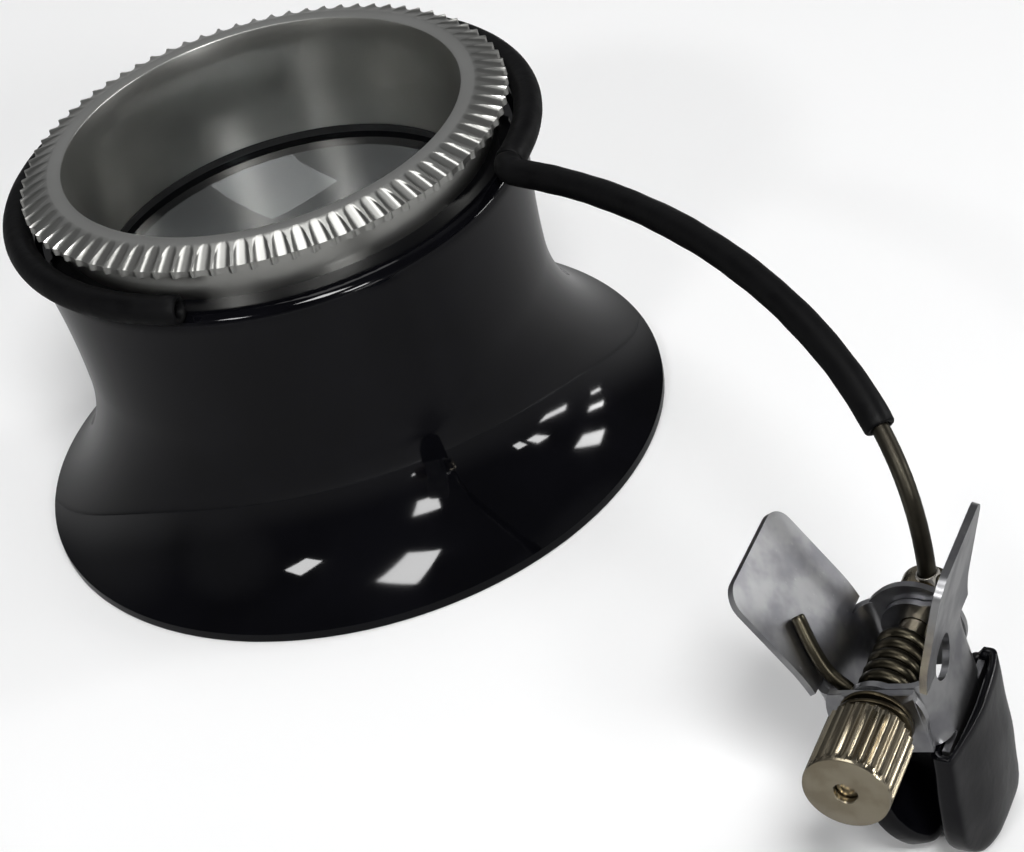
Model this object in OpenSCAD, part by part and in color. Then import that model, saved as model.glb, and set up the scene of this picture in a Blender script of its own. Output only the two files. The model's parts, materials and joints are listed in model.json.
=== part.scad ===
// Eye loupe: a black eye cup that carries one lens under a knurled ring, and a sprung spectacle
// clip on a formed wire that turns round the ring. Millimetres. The cup's axis is +Z and its rim
// stands on z = 0. The clip is drawn in its own frame: x across the jaws, -y along the pin
// towards the nut, z up the wings, with the pin's axis through its origin.

/* [Eye cup] */
// Outer radius of the rim that sits in the eye socket
rim_r = 19.65; // [18.5:0.05:21]
// Height of the plain edge round the rim
rim_edge_h = 0.6; // [0.4:0.05:1]
// Radius of the mouth inside the rim
mouth_r = 17.3; // [16.8:0.05:17.6]
// Depth of the straight wall inside the mouth
mouth_depth = 1.3; // [1:0.05:1.5]
// Radius of the neck at its waist
neck_r = 14.4; // [14.2:0.05:14.8]
// Height of the waist
neck_z = 10.5; // [9.5:0.1:11]
// Wall thickness of the flare
cup_wall = 1.6; // [1.2:0.05:1.9]
// Radius of the cup's shoulder under the ring
lip_r = 15.1; // [14.9:0.05:15.3]
// Height of the cup
cup_h = 19.7; // [19.4:0.05:20.4]
// Rounding of the shoulder's edge
lip_round = 0.8; // [0.4:0.05:1]

/* [Lens] */
// Radius of the lens
lens_r = 12.5; // [12.3:0.05:12.6]
// Thickness of the lens at its edge
lens_edge_t = 1.65; // [1.2:0.05:2]
// Radius of the sphere that the eye side is ground to
lens_sphere_r = 33; // [30:1:60]
// Height of the seat that the lens lies on
seat_z = 13.3; // [13:0.05:13.6]
// Radius of the hole through the seat
seat_hole_r = 11.4; // [10.8:0.05:11.6]
// Gap round the lens in its pocket
lens_gap = 0.05; // [0.02:0.01:0.1]
// Thickness of the black gasket on the lens
gasket_t = 0.45; // [0.3:0.05:0.6]
// Gap between the gasket and the wall of the thread
gasket_gap = 0.1; // [0.05:0.01:0.2]
// Lip of the gasket that shows inside the ring's bore
gasket_lip = 0.1; // [0.05:0.01:0.2]

/* [Lens ring] */
// Radius of the ring's bore
ring_bore_r = 12; // [11.6:0.05:12.2]
// Radius of the thread in the cup
thread_r = 13.1; // [13:0.05:13.2]
// Running clearance of the thread
thread_gap = 0.05; // [0.02:0.01:0.08]
// Radius of the plain band above the cup
band_r = 13.24; // [13.2:0.02:13.5]
// Height of the plain band
band_h = 2.3; // [2.1:0.05:2.6]
// Outer radius of the knurl
knurl_r = 14.65; // [14.3:0.05:14.9]
// Height of the knurl's upright side
knurl_side_h = 0.5; // [0.3:0.05:0.8]
// Height of the knurl's bevel
bevel_h = 0.55; // [0.4:0.05:0.8]
// Radius where the flutes run out on the top face
flute_start_r = 12.85; // [12.6:0.05:13.2]
// Number of flutes round the knurl
flute_count = 80; // [60:1:90]
// Depth of a flute in the upright side
flute_depth = 0.32; // [0.2:0.02:0.4]
// Width of a flute at its mouth
flute_w = 0.68; // [0.4:0.02:0.7]
// Chamfer at the mouth of the ring's bore
ring_chamfer = 0.2; // [0.1:0.05:0.3]

/* [Wire] */
// Radius of the spring wire
wire_r = 0.45; // [0.4:0.01:0.5]
// Radius of the loop's centre line
loop_r = 15.45; // [15.4:0.05:15.8]
// Outer radius of the sleeve on the loop
loop_sleeve_r = 0.85; // [0.75:0.01:0.9]
// Outer radius of the sleeve on the arm
arm_sleeve_r = 0.8; // [0.7:0.01:0.85]
// Gap between the wire and its sleeves
sleeve_gap = 0.03; // [0.02:0.01:0.06]
// Height of the loop's sleeve over the cup's shoulder plane
loop_lift = 0; // [0:0.05:0.3]
// Angle where the loop's open end stands, round the axis
loop_end_angle = 250; // [230:1:260]
// Angle where the loop bends into the arm
loop_bend_angle = -26; // [-40:1:-15]
// Radius of the bend from the loop into the arm
bend_r = 1.3; // [1.1:0.05:1.8]
// Angle at which the arm leaves, round the axis
arm_leave_angle = -38; // [-50:1:-25]
// Reach of the arm's curve from the loop
arm_reach = 9.6; // [7:0.1:12]
// Rise of the arm's curve over the clip
arm_rise = 12.8; // [10:0.1:15]
// Share of the arm's curve that the sleeve covers
arm_sleeve_share = 0.79; // [0.5:0.01:0.85]
// Bare wire at the loop's open end, left inside the sleeve
loop_end_inset = 1; // [0.5:0.1:2]

/* [Clip place] */
// Middle of the pin from the cup's axis
clip_at = [27.5, -44.25, 10.6];
// Turn of the clip round the upright
clip_turn = -27.5; // [-35:0.5:-20]
// Lean of the clip round its pin
clip_lean = -9.3; // [-15:0.1:-5]

/* [Clip leaves] */
// Thickness of the spring sheet
sheet_t = 0.35; // [0.3:0.01:0.4]
// Width of a leaf
leaf_w = 6.9; // [6.7:0.05:7.2]
// Distance of a leaf's inner face from the pin's axis
leaf_x = 2.4; // [2.3:0.05:2.6]
// Height of the bend into the wing, over the pin's axis
wing_z = 1.55; // [1.4:0.05:1.8]
// Length of a wing
wing_len = 6.15; // [5:0.05:7]
// Lean of a wing
wing_angle = 24; // [15:1:28]
// Rounding of a wing's corners
wing_round = 1.1; // [0.5:0.05:1.5]
// Depth of the bend into the jaw, under the pin's axis
jaw_z = 2.4; // [2.3:0.05:2.6]
// Length of a jaw
jaw_len = 7.4; // [6:0.1:7.6]
// Width of a jaw inside its boot
jaw_w = 6.3; // [5.6:0.05:6.3]
// Outer radius of the bend into an ear
ear_bend_r = 1.2; // [1:0.05:1.3]
// Radius of the outer ears round the pin
outer_ear_r = 2.4; // [2.2:0.05:2.4]
// Radius of the inner ears round the pin
inner_ear_r = 1.65; // [1.5:0.05:1.7]
// Top of an ear at its bend, over the pin's axis
ear_top = 1.45; // [1.2:0.05:1.5]
// Bottom of an ear at its bend, under the pin's axis
ear_low = 2.2; // [2:0.05:2.3]
// Gap between an inner ear and an outer ear
ear_gap = 0.05; // [0.03:0.01:0.1]
// Radius of the round hole in the right leaf
peep_r = 1.1; // [0.8:0.05:1.2]

/* [Jaw boots] */
// Thickness of a boot across its flat
boot_t = 1.7; // [1.5:0.05:1.75]
// Width of a boot
boot_w = 7.2; // [7.1:0.05:7.6]
// Wall of a boot
boot_wall = 0.36; // [0.3:0.02:0.4]
// Length of the right boot
right_boot_len = 8.3; // [7.9:0.05:8.6]
// Length of the left boot
left_boot_len = 7.9; // [7.8:0.05:8]
// Gap between the tips of the closed boots
jaw_gap = 0.06; // [0.03:0.01:0.1]
// Distance of a boot's mouth from the bend into the jaw
boot_start = 0.15; // [0.1:0.05:0.4]
// Rounding of the boot's front corner
boot_front_round = 2.4; // [1:0.1:3]
// Rounding of the boot's rear corner
boot_rear_round = 1.3; // [1:0.1:3]

/* [Pin, washers and nut] */
// Radius of the pin
pin_r = 0.75; // [0.7:0.01:0.8]
// Running clearance round the pin
pin_gap = 0.05; // [0.03:0.01:0.08]
// Radius of the pin's head
head_r = 1.5; // [1.4:0.05:1.7]
// Length of the pin's head
head_len = 2.1; // [2:0.05:2.4]
// Gap between parts that lie on each other along the pin
stack_gap = 0.04; // [0.03:0.01:0.05]
// Thickness of a flat washer
washer_t = 0.22; // [0.2:0.01:0.25]
// Outer radius of the washers
washer_r = 1.8; // [1.7:0.05:1.9]
// Thickness of the curved spring washer
curved_t = 0.2; // [0.15:0.01:0.22]
// Rise of the curved spring washer
curved_rise = 0.28; // [0.2:0.02:0.3]
// Outer radius of the thumb nut
nut_r = 2.07; // [2:0.01:2.2]
// Length of the thumb nut
nut_len = 3.85; // [3.5:0.05:4.2]
// Number of grooves round the thumb nut
nut_grooves = 28; // [20:1:32]
// Depth of a groove in the thumb nut
nut_groove_depth = 0.16; // [0.1:0.01:0.2]
// Chamfer at the nut's ends
nut_chamfer = 0.12; // [0.08:0.01:0.15]
// Recess of the pin's end in the nut's face
pin_recess = 0.35; // [0.2:0.05:0.6]
// Outer radius of the ferrule round the wire's end
ferrule_r = 0.8; // [0.75:0.01:0.9]
// Length of the ferrule over the pin's head
ferrule_show = 0.75; // [0.5:0.05:1]
// Depth of the ferrule in the pin's head
ferrule_seat = 0.5; // [0.3:0.05:0.6]

/* [Torsion spring] */
// Radius of the spring's wire
coil_wire_r = 0.25; // [0.22:0.01:0.26]
// Radius of the coil's centre line
coil_r = 1.12; // [1.1:0.01:1.2]
// Full turns of the coil; half a turn more brings it to the far leg
coil_turns = 4; // [3:1:4]
// Step of the coil from turn to turn
coil_pitch = 0.96; // [0.95:0.01:0.98]
// Front end of the coil along the pin
coil_front_y = -2.38; // [-2.4:0.02:-2.3]
// Length of a leg along its wing
leg_len = 3.6; // [3:0.1:4]

/* [Hidden] */
$fn = 96;
eps = 0.01;
arc_steps = 16;

// Cup: the flare and the neck are arcs that share a vertical tangent at the waist
flare_r = (pow(neck_z - rim_edge_h, 2) + pow(rim_r - neck_r, 2)) / (2 * (rim_r - neck_r));
lip_edge_z = cup_h - lip_round;
neck_arc_r = (pow(lip_edge_z - neck_z, 2) + pow(lip_r - neck_r, 2)) / (2 * (lip_r - neck_r));
inner_start_z = mouth_depth + 0.3;
inner_neck_r = neck_r - cup_wall;
inner_cone_h = inner_neck_r - seat_hole_r;

// Lens stack
lens_top_z = seat_z + lens_edge_t;
gasket_top_z = lens_top_z + gasket_t;
skirt_r = thread_r - thread_gap;
lens_dome_r = seat_hole_r - 0.1;
lens_dome_h = lens_sphere_r - sqrt(pow(lens_sphere_r, 2) - pow(lens_dome_r, 2));

// Ring
knurl_z = cup_h + band_h;
bevel_z = knurl_z + knurl_side_h;
ring_top_z = bevel_z + bevel_h;
flute_end_z = bevel_z - flute_depth / cos(30);
flute_slope = atan((ring_top_z - flute_end_z) / (knurl_r - flute_start_r));
flute_reach = 1.25 * flute_depth;
flute_spread = 1.25 * flute_w / 2;
flute_lead = 0.3;
flute_length = (knurl_r - flute_start_r) / cos(flute_slope) + flute_depth + flute_lead;

// Wire: loop, bend and arm are one path
loop_z = cup_h + loop_sleeve_r + loop_lift;
wire_sides = 10;
loop_ring_step = 6;
bend_rings = 6;
arm_rings = 24;
travel_angle = loop_bend_angle - 90;
bend_start = [loop_r * cos(loop_bend_angle), loop_r * sin(loop_bend_angle), loop_z];
bend_centre = bend_start + bend_r * [-sin(travel_angle), cos(travel_angle), 0];
bend_path = [for (i = [0:bend_rings]) let (a = travel_angle + (arm_leave_angle - travel_angle) * i / bend_rings)
    bend_centre + bend_r * [sin(a), -cos(a), 0]];
wire_end_inset = loop_end_inset / loop_r * 180 / PI;
loop_first = loop_end_angle - wire_end_inset;
loop_rings = floor((loop_first - loop_bend_angle) / loop_ring_step);
loop_path = [for (i = [0:loop_rings - 1]) let (a = loop_first + (loop_bend_angle - loop_first) * i / loop_rings)
    [loop_r * cos(a), loop_r * sin(a), loop_z]];

// Clip: the pin's stack, from the outer ears outwards, as distances from the middle
outer_ear_y = leaf_w / 2;
inner_ear_y = outer_ear_y - sheet_t - ear_gap;
rear_washer_y = outer_ear_y + stack_gap;
head_y = rear_washer_y + washer_t + stack_gap;
head_mid_y = head_y + head_len / 2;
inner_washer_y = outer_ear_y + stack_gap;
curved_y = inner_washer_y + washer_t + stack_gap;
outer_washer_y = curved_y + curved_t + curved_rise + stack_gap;
nut_y = outer_washer_y + washer_t + stack_gap;
pin_end_y = nut_y + nut_len - pin_recess;
hole_r = pin_r + pin_gap;
ear_mid_x = leaf_x + sheet_t - ear_bend_r;
// A jaw leans so far that the longer boot's tip comes up to the middle plane
boot_tip = boot_start + max(right_boot_len, left_boot_len);
boot_half = (sheet_t + boot_t) / 2;
jaw_angle = asin((leaf_x + sheet_t - jaw_gap / 2) / norm([boot_half, boot_tip])) - atan(boot_half / boot_tip);
ferrule_low_z = head_r - ferrule_seat;
ferrule_top_z = head_r + ferrule_show;
wire_hole_low_z = -0.5;
wire_hole_r = wire_r + sleeve_gap;
ferrule_gap = 0.02;

// Turns a point of the clip's frame into the part's frame
function in_part(p) = let (x = p[0] * cos(clip_lean) + p[2] * sin(clip_lean),
    z = -p[0] * sin(clip_lean) + p[2] * cos(clip_lean))
    clip_at + [x * cos(clip_turn) - p[1] * sin(clip_turn), x * sin(clip_turn) + p[1] * cos(clip_turn), z];

// Arm: one cubic curve from the bend to the top of the ferrule
arm_from = bend_path[bend_rings];
arm_aim = arm_from + arm_reach * [cos(arm_leave_angle), sin(arm_leave_angle), 0];
arm_to = in_part([0, head_mid_y, ferrule_top_z]);
arm_over = in_part([0.29 * arm_rise, head_mid_y + 0.1 * arm_rise, ferrule_top_z + arm_rise]);
function arm_point(t) = pow(1 - t, 3) * arm_from + 3 * t * pow(1 - t, 2) * arm_aim
    + 3 * t * t * (1 - t) * arm_over + pow(t, 3) * arm_to;
arm_path = [for (i = [1:arm_rings]) arm_point(i / arm_rings)];
wire_foot = in_part([0, head_mid_y, wire_hole_low_z + 0.1]);
sleeve_rings = round(arm_rings * arm_sleeve_share);
arm_sleeve_path = concat([for (i = [1:bend_rings]) bend_path[i]], [for (i = [1:sleeve_rings]) arm_point(i / sleeve_rings * arm_sleeve_share)]);
path_normal = cross(arm_aim - arm_from, arm_to - arm_from);

// Torsion spring: front leg, coil and rear leg are one path in the clip's frame
coil_sides = 6;
rings_per_turn = 8;
coil_steps = (coil_turns + 0.5) * rings_per_turn;
coil_first_angle = 180;
function coil_point(i) = let (a = coil_first_angle + 360 * i / rings_per_turn)
    [coil_r * cos(a), coil_front_y + coil_pitch * i / rings_per_turn, coil_r * sin(a)];
coil_path = [for (i = [0:coil_steps]) coil_point(i)];
leg_clear = coil_wire_r + 0.06;
leg_low_x = leaf_x - leg_clear / cos(wing_angle);
function leg_point(side, s, y) = [side * (leg_low_x + s * sin(wing_angle)), y, wing_z + s * cos(wing_angle)];
front_leg = [leg_point(-1, leg_len, coil_front_y + 1.05), leg_point(-1, leg_len - 2 * coil_wire_r, coil_front_y + 0.9),
    leg_point(-1, 0.4, coil_front_y), [-1.45, coil_front_y - 0.02, 0.95]];
coil_rear_y = coil_path[coil_steps][1];
rear_leg = [[1.45, coil_rear_y + 0.02, 0.95], leg_point(1, 0.4, coil_rear_y),
    leg_point(1, leg_len - 2 * coil_wire_r, coil_rear_y - 0.5), leg_point(1, leg_len, coil_rear_y - 0.6)];
spring_path = concat(front_leg, coil_path, rear_leg);

// Least gap between turns of the coil, measured on its centre line's points
coil_gap = min([for (i = [0:coil_steps - rings_per_turn], j = [i + rings_per_turn - 2:coil_steps])
    norm(coil_path[i] - coil_path[j]) - 2 * coil_wire_r]);
echo(least_gap_of_the_coil_to_itself = coil_gap);

// Tube along a path: rings of points round each path point, and triangles between them
function unit(v) = v / norm(v);
function heading(path, i) = unit(path[min(i + 1, len(path) - 1)] - path[max(i - 1, 0)]);
function ring_at(path, i, r, sides, ref) = let (d = heading(path, i), u = unit(cross(ref, d)), w = cross(d, u))
    [for (k = [0:sides - 1]) path[i] + r * (cos(360 * k / sides) * u + sin(360 * k / sides) * w)];
function tube_points(path, r, sides, ref) = [for (i = [0:len(path) - 1]) each ring_at(path, i, r, sides, ref)];
function skin(rings, sides, base, turned) = [for (i = [0:rings - 2], k = [0:sides - 1])
    let (a = base + i * sides + k, b = base + i * sides + (k + 1) % sides, c = a + sides, d = b + sides)
    each (turned ? [[a, b, c], [b, d, c]] : [[a, c, b], [b, c, d]])];

module solid_tube(path, r, sides, ref) {
    rings = len(path);
    last = (rings - 1) * sides;
    polyhedron(tube_points(path, r, sides, ref), concat(skin(rings, sides, 0, false),
        [for (k = [1:sides - 2]) [0, k, k + 1]], [for (k = [1:sides - 2]) [last, last + k + 1, last + k]]));
}

module hollow_tube(path, r_out, r_in, sides, ref) {
    rings = len(path);
    inner = rings * sides;
    last = (rings - 1) * sides;
    polyhedron(concat(tube_points(path, r_out, sides, ref), tube_points(path, r_in, sides, ref)),
        concat(skin(rings, sides, 0, false), skin(rings, sides, inner, true),
        [for (k = [0:sides - 1]) let (m = (k + 1) % sides) each [[k, m, inner + k], [m, inner + m, inner + k]]],
        [for (k = [0:sides - 1]) let (m = (k + 1) % sides)
            each [[last + k, inner + last + k, last + m], [last + m, inner + last + k, inner + last + m]]]));
}

module in_clip() {
    translate(clip_at) rotate([0, 0, clip_turn]) rotate([0, clip_lean, 0]) children();
}

// Runs its shape, drawn in x and z, along the pin from one distance in front to another
module along_pin(from_y, to_y) {
    translate([0, to_y, 0]) rotate([90, 0, 0]) linear_extrude(to_y - from_y) children();
}

module disc(r, hole) {
    difference() {
        circle(r);
        circle(hole);
    }
}

// Points of the cup's outside from the rim up, then of its shoulder's rounding
flare_outline = [for (i = [0:arc_steps]) let (z = rim_edge_h + (neck_z - rim_edge_h) * i / arc_steps)
    [neck_r + flare_r - sqrt(pow(flare_r, 2) - pow(neck_z - z, 2)), z]];
neck_outline = [for (i = [1:arc_steps]) let (z = neck_z + (lip_edge_z - neck_z) * i / arc_steps)
    [neck_r + neck_arc_r - sqrt(pow(neck_arc_r, 2) - pow(z - neck_z, 2)), z]];
lip_outline = [for (i = [1:6]) let (a = 90 * i / 6) [lip_r - lip_round + lip_round * cos(a), lip_edge_z + lip_round * sin(a)]];
inside_outline = [for (i = [arc_steps:-1:0]) let (z = inner_start_z + (neck_z - inner_start_z) * i / arc_steps)
    [neck_r + flare_r - sqrt(pow(flare_r + cup_wall, 2) - pow(neck_z - z, 2)), z]];

module eye_cup() {
    color("#101114") rotate_extrude() polygon(concat([[mouth_r, 0], [rim_r, 0]], flare_outline, neck_outline,
        lip_outline, [[thread_r, cup_h], [thread_r, lens_top_z], [lens_r + lens_gap, lens_top_z],
        [lens_r + lens_gap, seat_z], [seat_hole_r, seat_z], [seat_hole_r, neck_z + inner_cone_h]],
        inside_outline, [[mouth_r, mouth_depth]]));
}

module lens() {
    color("#DDE6E8") union() {
        translate([0, 0, seat_z]) cylinder(r = lens_r, h = lens_edge_t);
        intersection() {
            translate([0, 0, seat_z - lens_dome_h + lens_sphere_r]) sphere(lens_sphere_r);
            translate([0, 0, seat_z - lens_dome_h - 1]) cylinder(r = lens_dome_r, h = lens_dome_h + 1 + lens_edge_t / 2);
        }
    }
}

module lens_gasket() {
    color("#0B0B0C") translate([0, 0, lens_top_z]) linear_extrude(gasket_t) disc(thread_r - gasket_gap, ring_bore_r - gasket_lip);
}

module flute() {
    translate([flute_start_r, 0, ring_top_z]) rotate([0, 90 + flute_slope, 0]) translate([0, 0, -flute_lead])
        linear_extrude(flute_length) polygon([[0, 0], [-flute_reach, flute_spread], [-flute_reach, -flute_spread]]);
    translate([knurl_r - flute_depth, 0, knurl_z - 1]) linear_extrude(knurl_side_h + 1 + flute_lead)
        polygon([[0, 0], [flute_reach, flute_spread], [flute_reach, -flute_spread]]);
}

module lens_ring() {
    color("#C9CBCC") difference() {
        rotate_extrude() polygon([[ring_bore_r, gasket_top_z], [skirt_r, gasket_top_z], [skirt_r, cup_h],
            [band_r, cup_h], [band_r, knurl_z], [knurl_r, knurl_z], [knurl_r, bevel_z], [flute_start_r, ring_top_z],
            [ring_bore_r + ring_chamfer, ring_top_z], [ring_bore_r, ring_top_z - ring_chamfer]]);
        for (i = [0:flute_count - 1]) rotate(360 * i / flute_count) flute();
    }
}

module spring_wire() {
    color("#6F6E66") solid_tube(concat(loop_path, bend_path, arm_path, [wire_foot]), wire_r, wire_sides, path_normal);
}

module loop_sleeve() {
    color("#141416") translate([0, 0, loop_z]) rotate(loop_bend_angle)
        rotate_extrude(angle = loop_end_angle - loop_bend_angle) translate([loop_r, 0]) disc(loop_sleeve_r, wire_r + sleeve_gap, $fn = 32);
}

module arm_sleeve() {
    color("#17171A") hollow_tube(arm_sleeve_path, arm_sleeve_r, (wire_r + sleeve_gap) / cos(180 / wire_sides), wire_sides, path_normal);
}

module wire_ferrule() {
    color("#D9D6CF") in_clip() translate([0, head_mid_y, ferrule_low_z]) difference() {
        cylinder(r = ferrule_r, h = ferrule_top_z - ferrule_low_z, $fn = 48);
        translate([0, 0, -eps]) cylinder(r = wire_hole_r, h = ferrule_top_z - ferrule_low_z + 2 * eps, $fn = 48);
    }
}

module clip_pin() {
    color("#C8C4BA") in_clip() difference() {
        union() {
            along_pin(-pin_end_y, head_y) circle(pin_r, $fn = 48);
            along_pin(head_y, head_y + head_len) circle(head_r, $fn = 64);
        }
        translate([0, head_mid_y, wire_hole_low_z]) cylinder(r = wire_hole_r, h = 2 * head_r, $fn = 48);
        translate([0, head_mid_y, ferrule_low_z - ferrule_gap]) cylinder(r = ferrule_r + ferrule_gap, h = head_r, $fn = 48);
    }
}

module washer(from_y) {
    in_clip() along_pin(-from_y - washer_t, -from_y) disc(washer_r, hole_r, $fn = 64);
}

module rear_washer() {
    color("#A79F90") in_clip() along_pin(rear_washer_y, rear_washer_y + washer_t) disc(washer_r, hole_r, $fn = 64);
}

module inner_washer() {
    color("#B5AC9B") washer(inner_washer_y);
}

module outer_washer() {
    color("#B5AC9B") washer(outer_washer_y);
}

// A ring cut from a bowed sheet: it touches the washer behind it along its two sides
module curved_washer() {
    bow_r = (pow(washer_r, 2) + pow(curved_rise, 2)) / (2 * curved_rise);
    color("#8C8375") in_clip() intersection() {
        along_pin(-curved_y - curved_t - curved_rise, -curved_y) disc(washer_r, hole_r, $fn = 64);
        translate([0, -curved_y - curved_rise - curved_t + bow_r + curved_t, -washer_r - 1]) difference() {
            cylinder(r = bow_r + curved_t, h = 2 * washer_r + 2, $fn = 128);
            translate([0, 0, -eps]) cylinder(r = bow_r, h = 2 * washer_r + 2 + 2 * eps, $fn = 128);
        }
    }
}

module thumb_nut() {
    groove_w = PI * nut_r / nut_grooves;
    color("#CFCBC2") in_clip() difference() {
        intersection() {
            along_pin(-nut_y - nut_len, -nut_y) difference() {
                disc(nut_r, hole_r);
                for (i = [0:nut_grooves - 1]) rotate(360 * i / nut_grooves)
                    translate([nut_r - nut_groove_depth, -groove_w / 2]) square([1, groove_w]);
            }
            translate([0, -nut_y, 0]) rotate([90, 0, 0]) rotate_extrude() polygon([[0, 0], [nut_r - nut_chamfer, 0],
                [nut_r + eps, nut_chamfer], [nut_r + eps, nut_len - nut_chamfer], [nut_r - nut_chamfer, nut_len], [0, nut_len]]);
        }
    }
}

// Flat outline, drawn across and along a leaf, with its two far corners rounded
module tongue(w, length, round_a, round_b) {
    translate([-w / 2, 0]) square([w, length - max(round_a, round_b)]);
    translate([-w / 2 + round_a, 0]) square([w - round_a - round_b, length]);
    translate([-w / 2, 0]) square([w / 2, length - round_a]);
    square([w / 2, length - round_b]);
    translate([-w / 2 + round_a, length - round_a]) circle(round_a, $fn = 48);
    translate([w / 2 - round_b, length - round_b]) circle(round_b, $fn = 48);
}

module ear(y_out, round_r) {
    along_pin(y_out - sheet_t, y_out) difference() {
        union() {
            translate([0, -ear_low]) square([ear_mid_x, ear_low + ear_top]);
            circle(round_r, $fn = 64);
        }
        circle(hole_r, $fn = 48);
    }
    translate([ear_mid_x, y_out - ear_bend_r, -ear_low]) rotate_extrude(angle = 90, $fn = 64)
        translate([ear_bend_r - sheet_t, 0]) square([sheet_t, ear_low + ear_top]);
}

// One stamped leaf on the +x side: a body with two ears, a wing above and a jaw below
module leaf(y_out, round_r) {
    body_w = 2 * (y_out - ear_bend_r);
    translate([leaf_x, -body_w / 2, -jaw_z]) cube([sheet_t, body_w, jaw_z + wing_z]);
    ear(y_out, round_r);
    mirror([0, 1, 0]) ear(y_out, round_r);
    translate([leaf_x, 0, wing_z]) rotate([0, wing_angle, 0]) rotate([90, 0, 90]) linear_extrude(sheet_t)
        tongue(leaf_w, wing_len, wing_round, wing_round);
    jaw_frame() rotate([90, 0, 90]) translate([0, 0, -sheet_t]) linear_extrude(sheet_t) mirror([0, 1])
        tongue(jaw_w, jaw_len, 1, 1);
}

// Stands at the outer face of a leaf where its jaw starts, turned with the jaw
module jaw_frame() {
    translate([leaf_x + sheet_t, 0, -jaw_z]) rotate([0, jaw_angle, 0]) children();
}

module left_leaf() {
    color("#9A9A9C") in_clip() mirror([1, 0, 0]) leaf(outer_ear_y, outer_ear_r);
}

module right_leaf() {
    color("#B9BAB8") in_clip() difference() {
        leaf(inner_ear_y, inner_ear_r);
        translate([leaf_x - 1, -0.9, wing_z - 0.1]) rotate([0, 90, 0]) cylinder(r = peep_r, h = 3, $fn = 48);
    }
}

// Flat section of a boot with round sides: the sheet runs through its middle
module boot_section(w, t) {
    square([w - t, t], center = true);
    translate([-(w - t) / 2, 0]) circle(t / 2, $fn = 48);
    translate([(w - t) / 2, 0]) circle(t / 2, $fn = 48);
}

module boot(boot_len) {
    jaw_frame() translate([-sheet_t / 2, 0, -boot_start]) difference() {
        intersection() {
            mirror([0, 0, 1]) linear_extrude(boot_len) rotate(90) boot_section(boot_w, boot_t);
            rotate([90, 0, 90]) translate([0, 0, -boot_t]) linear_extrude(2 * boot_t) mirror([0, 1])
                tongue(boot_w, boot_len, boot_front_round, boot_rear_round);
        }
        translate([0, 0, eps]) mirror([0, 0, 1]) linear_extrude(jaw_len + eps) rotate(90)
            boot_section(boot_w - 2 * boot_wall, boot_t - 2 * boot_wall);
    }
}

module left_jaw_boot() {
    color("#0F1013") in_clip() mirror([1, 0, 0]) boot(left_boot_len);
}

module right_jaw_boot() {
    color("#0F1013") in_clip() boot(right_boot_len);
}

module torsion_spring() {
    color("#57534A") in_clip() solid_tube(spring_path, coil_wire_r, coil_sides, [0, 1, 0]);
}

eye_cup();
lens();
lens_gasket();
lens_ring();
spring_wire();
loop_sleeve();
arm_sleeve();
wire_ferrule();
clip_pin();
rear_washer();
left_leaf();
right_leaf();
left_jaw_boot();
right_jaw_boot();
torsion_spring();
inner_washer();
curved_washer();
outer_washer();
thumb_nut();
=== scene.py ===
"""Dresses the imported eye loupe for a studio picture.

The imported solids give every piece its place. This script gives them materials, puts finer
meshes over the solids that are faceted or plain, and adds the floor, the lights and the camera.
Lengths are in millimetres up to the mesh helpers, which turn them into metres.
"""

from __future__ import annotations

import json
import logging
import math
from dataclasses import dataclass
from enum import Enum, IntEnum
from typing import Callable, Sequence

import bmesh
import bpy
from bpy.types import ID, Material, Mesh, Node, NodeOutputs, NodeSocket, NodeTree, Object
from mathutils import Matrix, Vector

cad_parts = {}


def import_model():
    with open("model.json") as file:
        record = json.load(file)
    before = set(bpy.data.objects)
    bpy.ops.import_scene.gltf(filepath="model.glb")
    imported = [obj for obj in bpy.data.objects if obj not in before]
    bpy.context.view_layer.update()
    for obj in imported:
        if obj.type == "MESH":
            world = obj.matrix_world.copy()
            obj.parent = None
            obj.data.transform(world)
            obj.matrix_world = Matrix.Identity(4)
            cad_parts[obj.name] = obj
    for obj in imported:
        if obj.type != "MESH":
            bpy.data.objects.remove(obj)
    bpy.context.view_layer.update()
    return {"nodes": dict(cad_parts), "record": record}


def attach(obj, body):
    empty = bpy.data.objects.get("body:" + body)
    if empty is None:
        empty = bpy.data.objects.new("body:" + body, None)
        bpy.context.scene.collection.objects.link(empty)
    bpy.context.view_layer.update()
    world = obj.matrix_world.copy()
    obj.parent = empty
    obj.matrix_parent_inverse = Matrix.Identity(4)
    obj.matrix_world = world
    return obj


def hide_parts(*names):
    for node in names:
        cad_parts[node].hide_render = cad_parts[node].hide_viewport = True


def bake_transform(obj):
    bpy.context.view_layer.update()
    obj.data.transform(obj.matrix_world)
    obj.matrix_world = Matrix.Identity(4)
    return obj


LOG = logging.getLogger("eye_loupe")
MM = 0.001
TAU = 2.0 * math.pi

# Radius in metres at which the marks of a lathe are measured round the axis.
TURNED_RADIUS = 0.0125
# Rotation and scale of the two layers of fine scratches.
SCRATCHES = (((0.5, 0.3, 0.0), (5000.0, 5000.0, 150.0)), ((-0.6, 0.45, 0.0), (6000.0, 6000.0, 180.0)))
# From where to where the noise of a patch, and of a scratch, goes from none to all.
PATCH_EDGE = (0.35, 0.65)
SCRATCH_EDGE = (0.74, 0.84)
SCRATCH_COLOUR = "#F2F2F0"
# The floor: half its side in metres, its colour, and the darker colour that metal sees, which is painted shade in the
# floor's reflections.
FLOOR_HALF = 3.0
FLOOR_SEEN = "#F7F7F7"
FLOOR_PAINTED_SHADE = "#A4A4A4"
# Least angle of a crisp edge in degrees, as a rule and for a skin that has none.
CRISP = 40.0
SMOOTH = 180.0
# A sleeve's lip: how far it stands out in shares of the wall, and where across the wall.
LIP_OUT = 0.3
LIP_AT = (0.2, 0.75)
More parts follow.
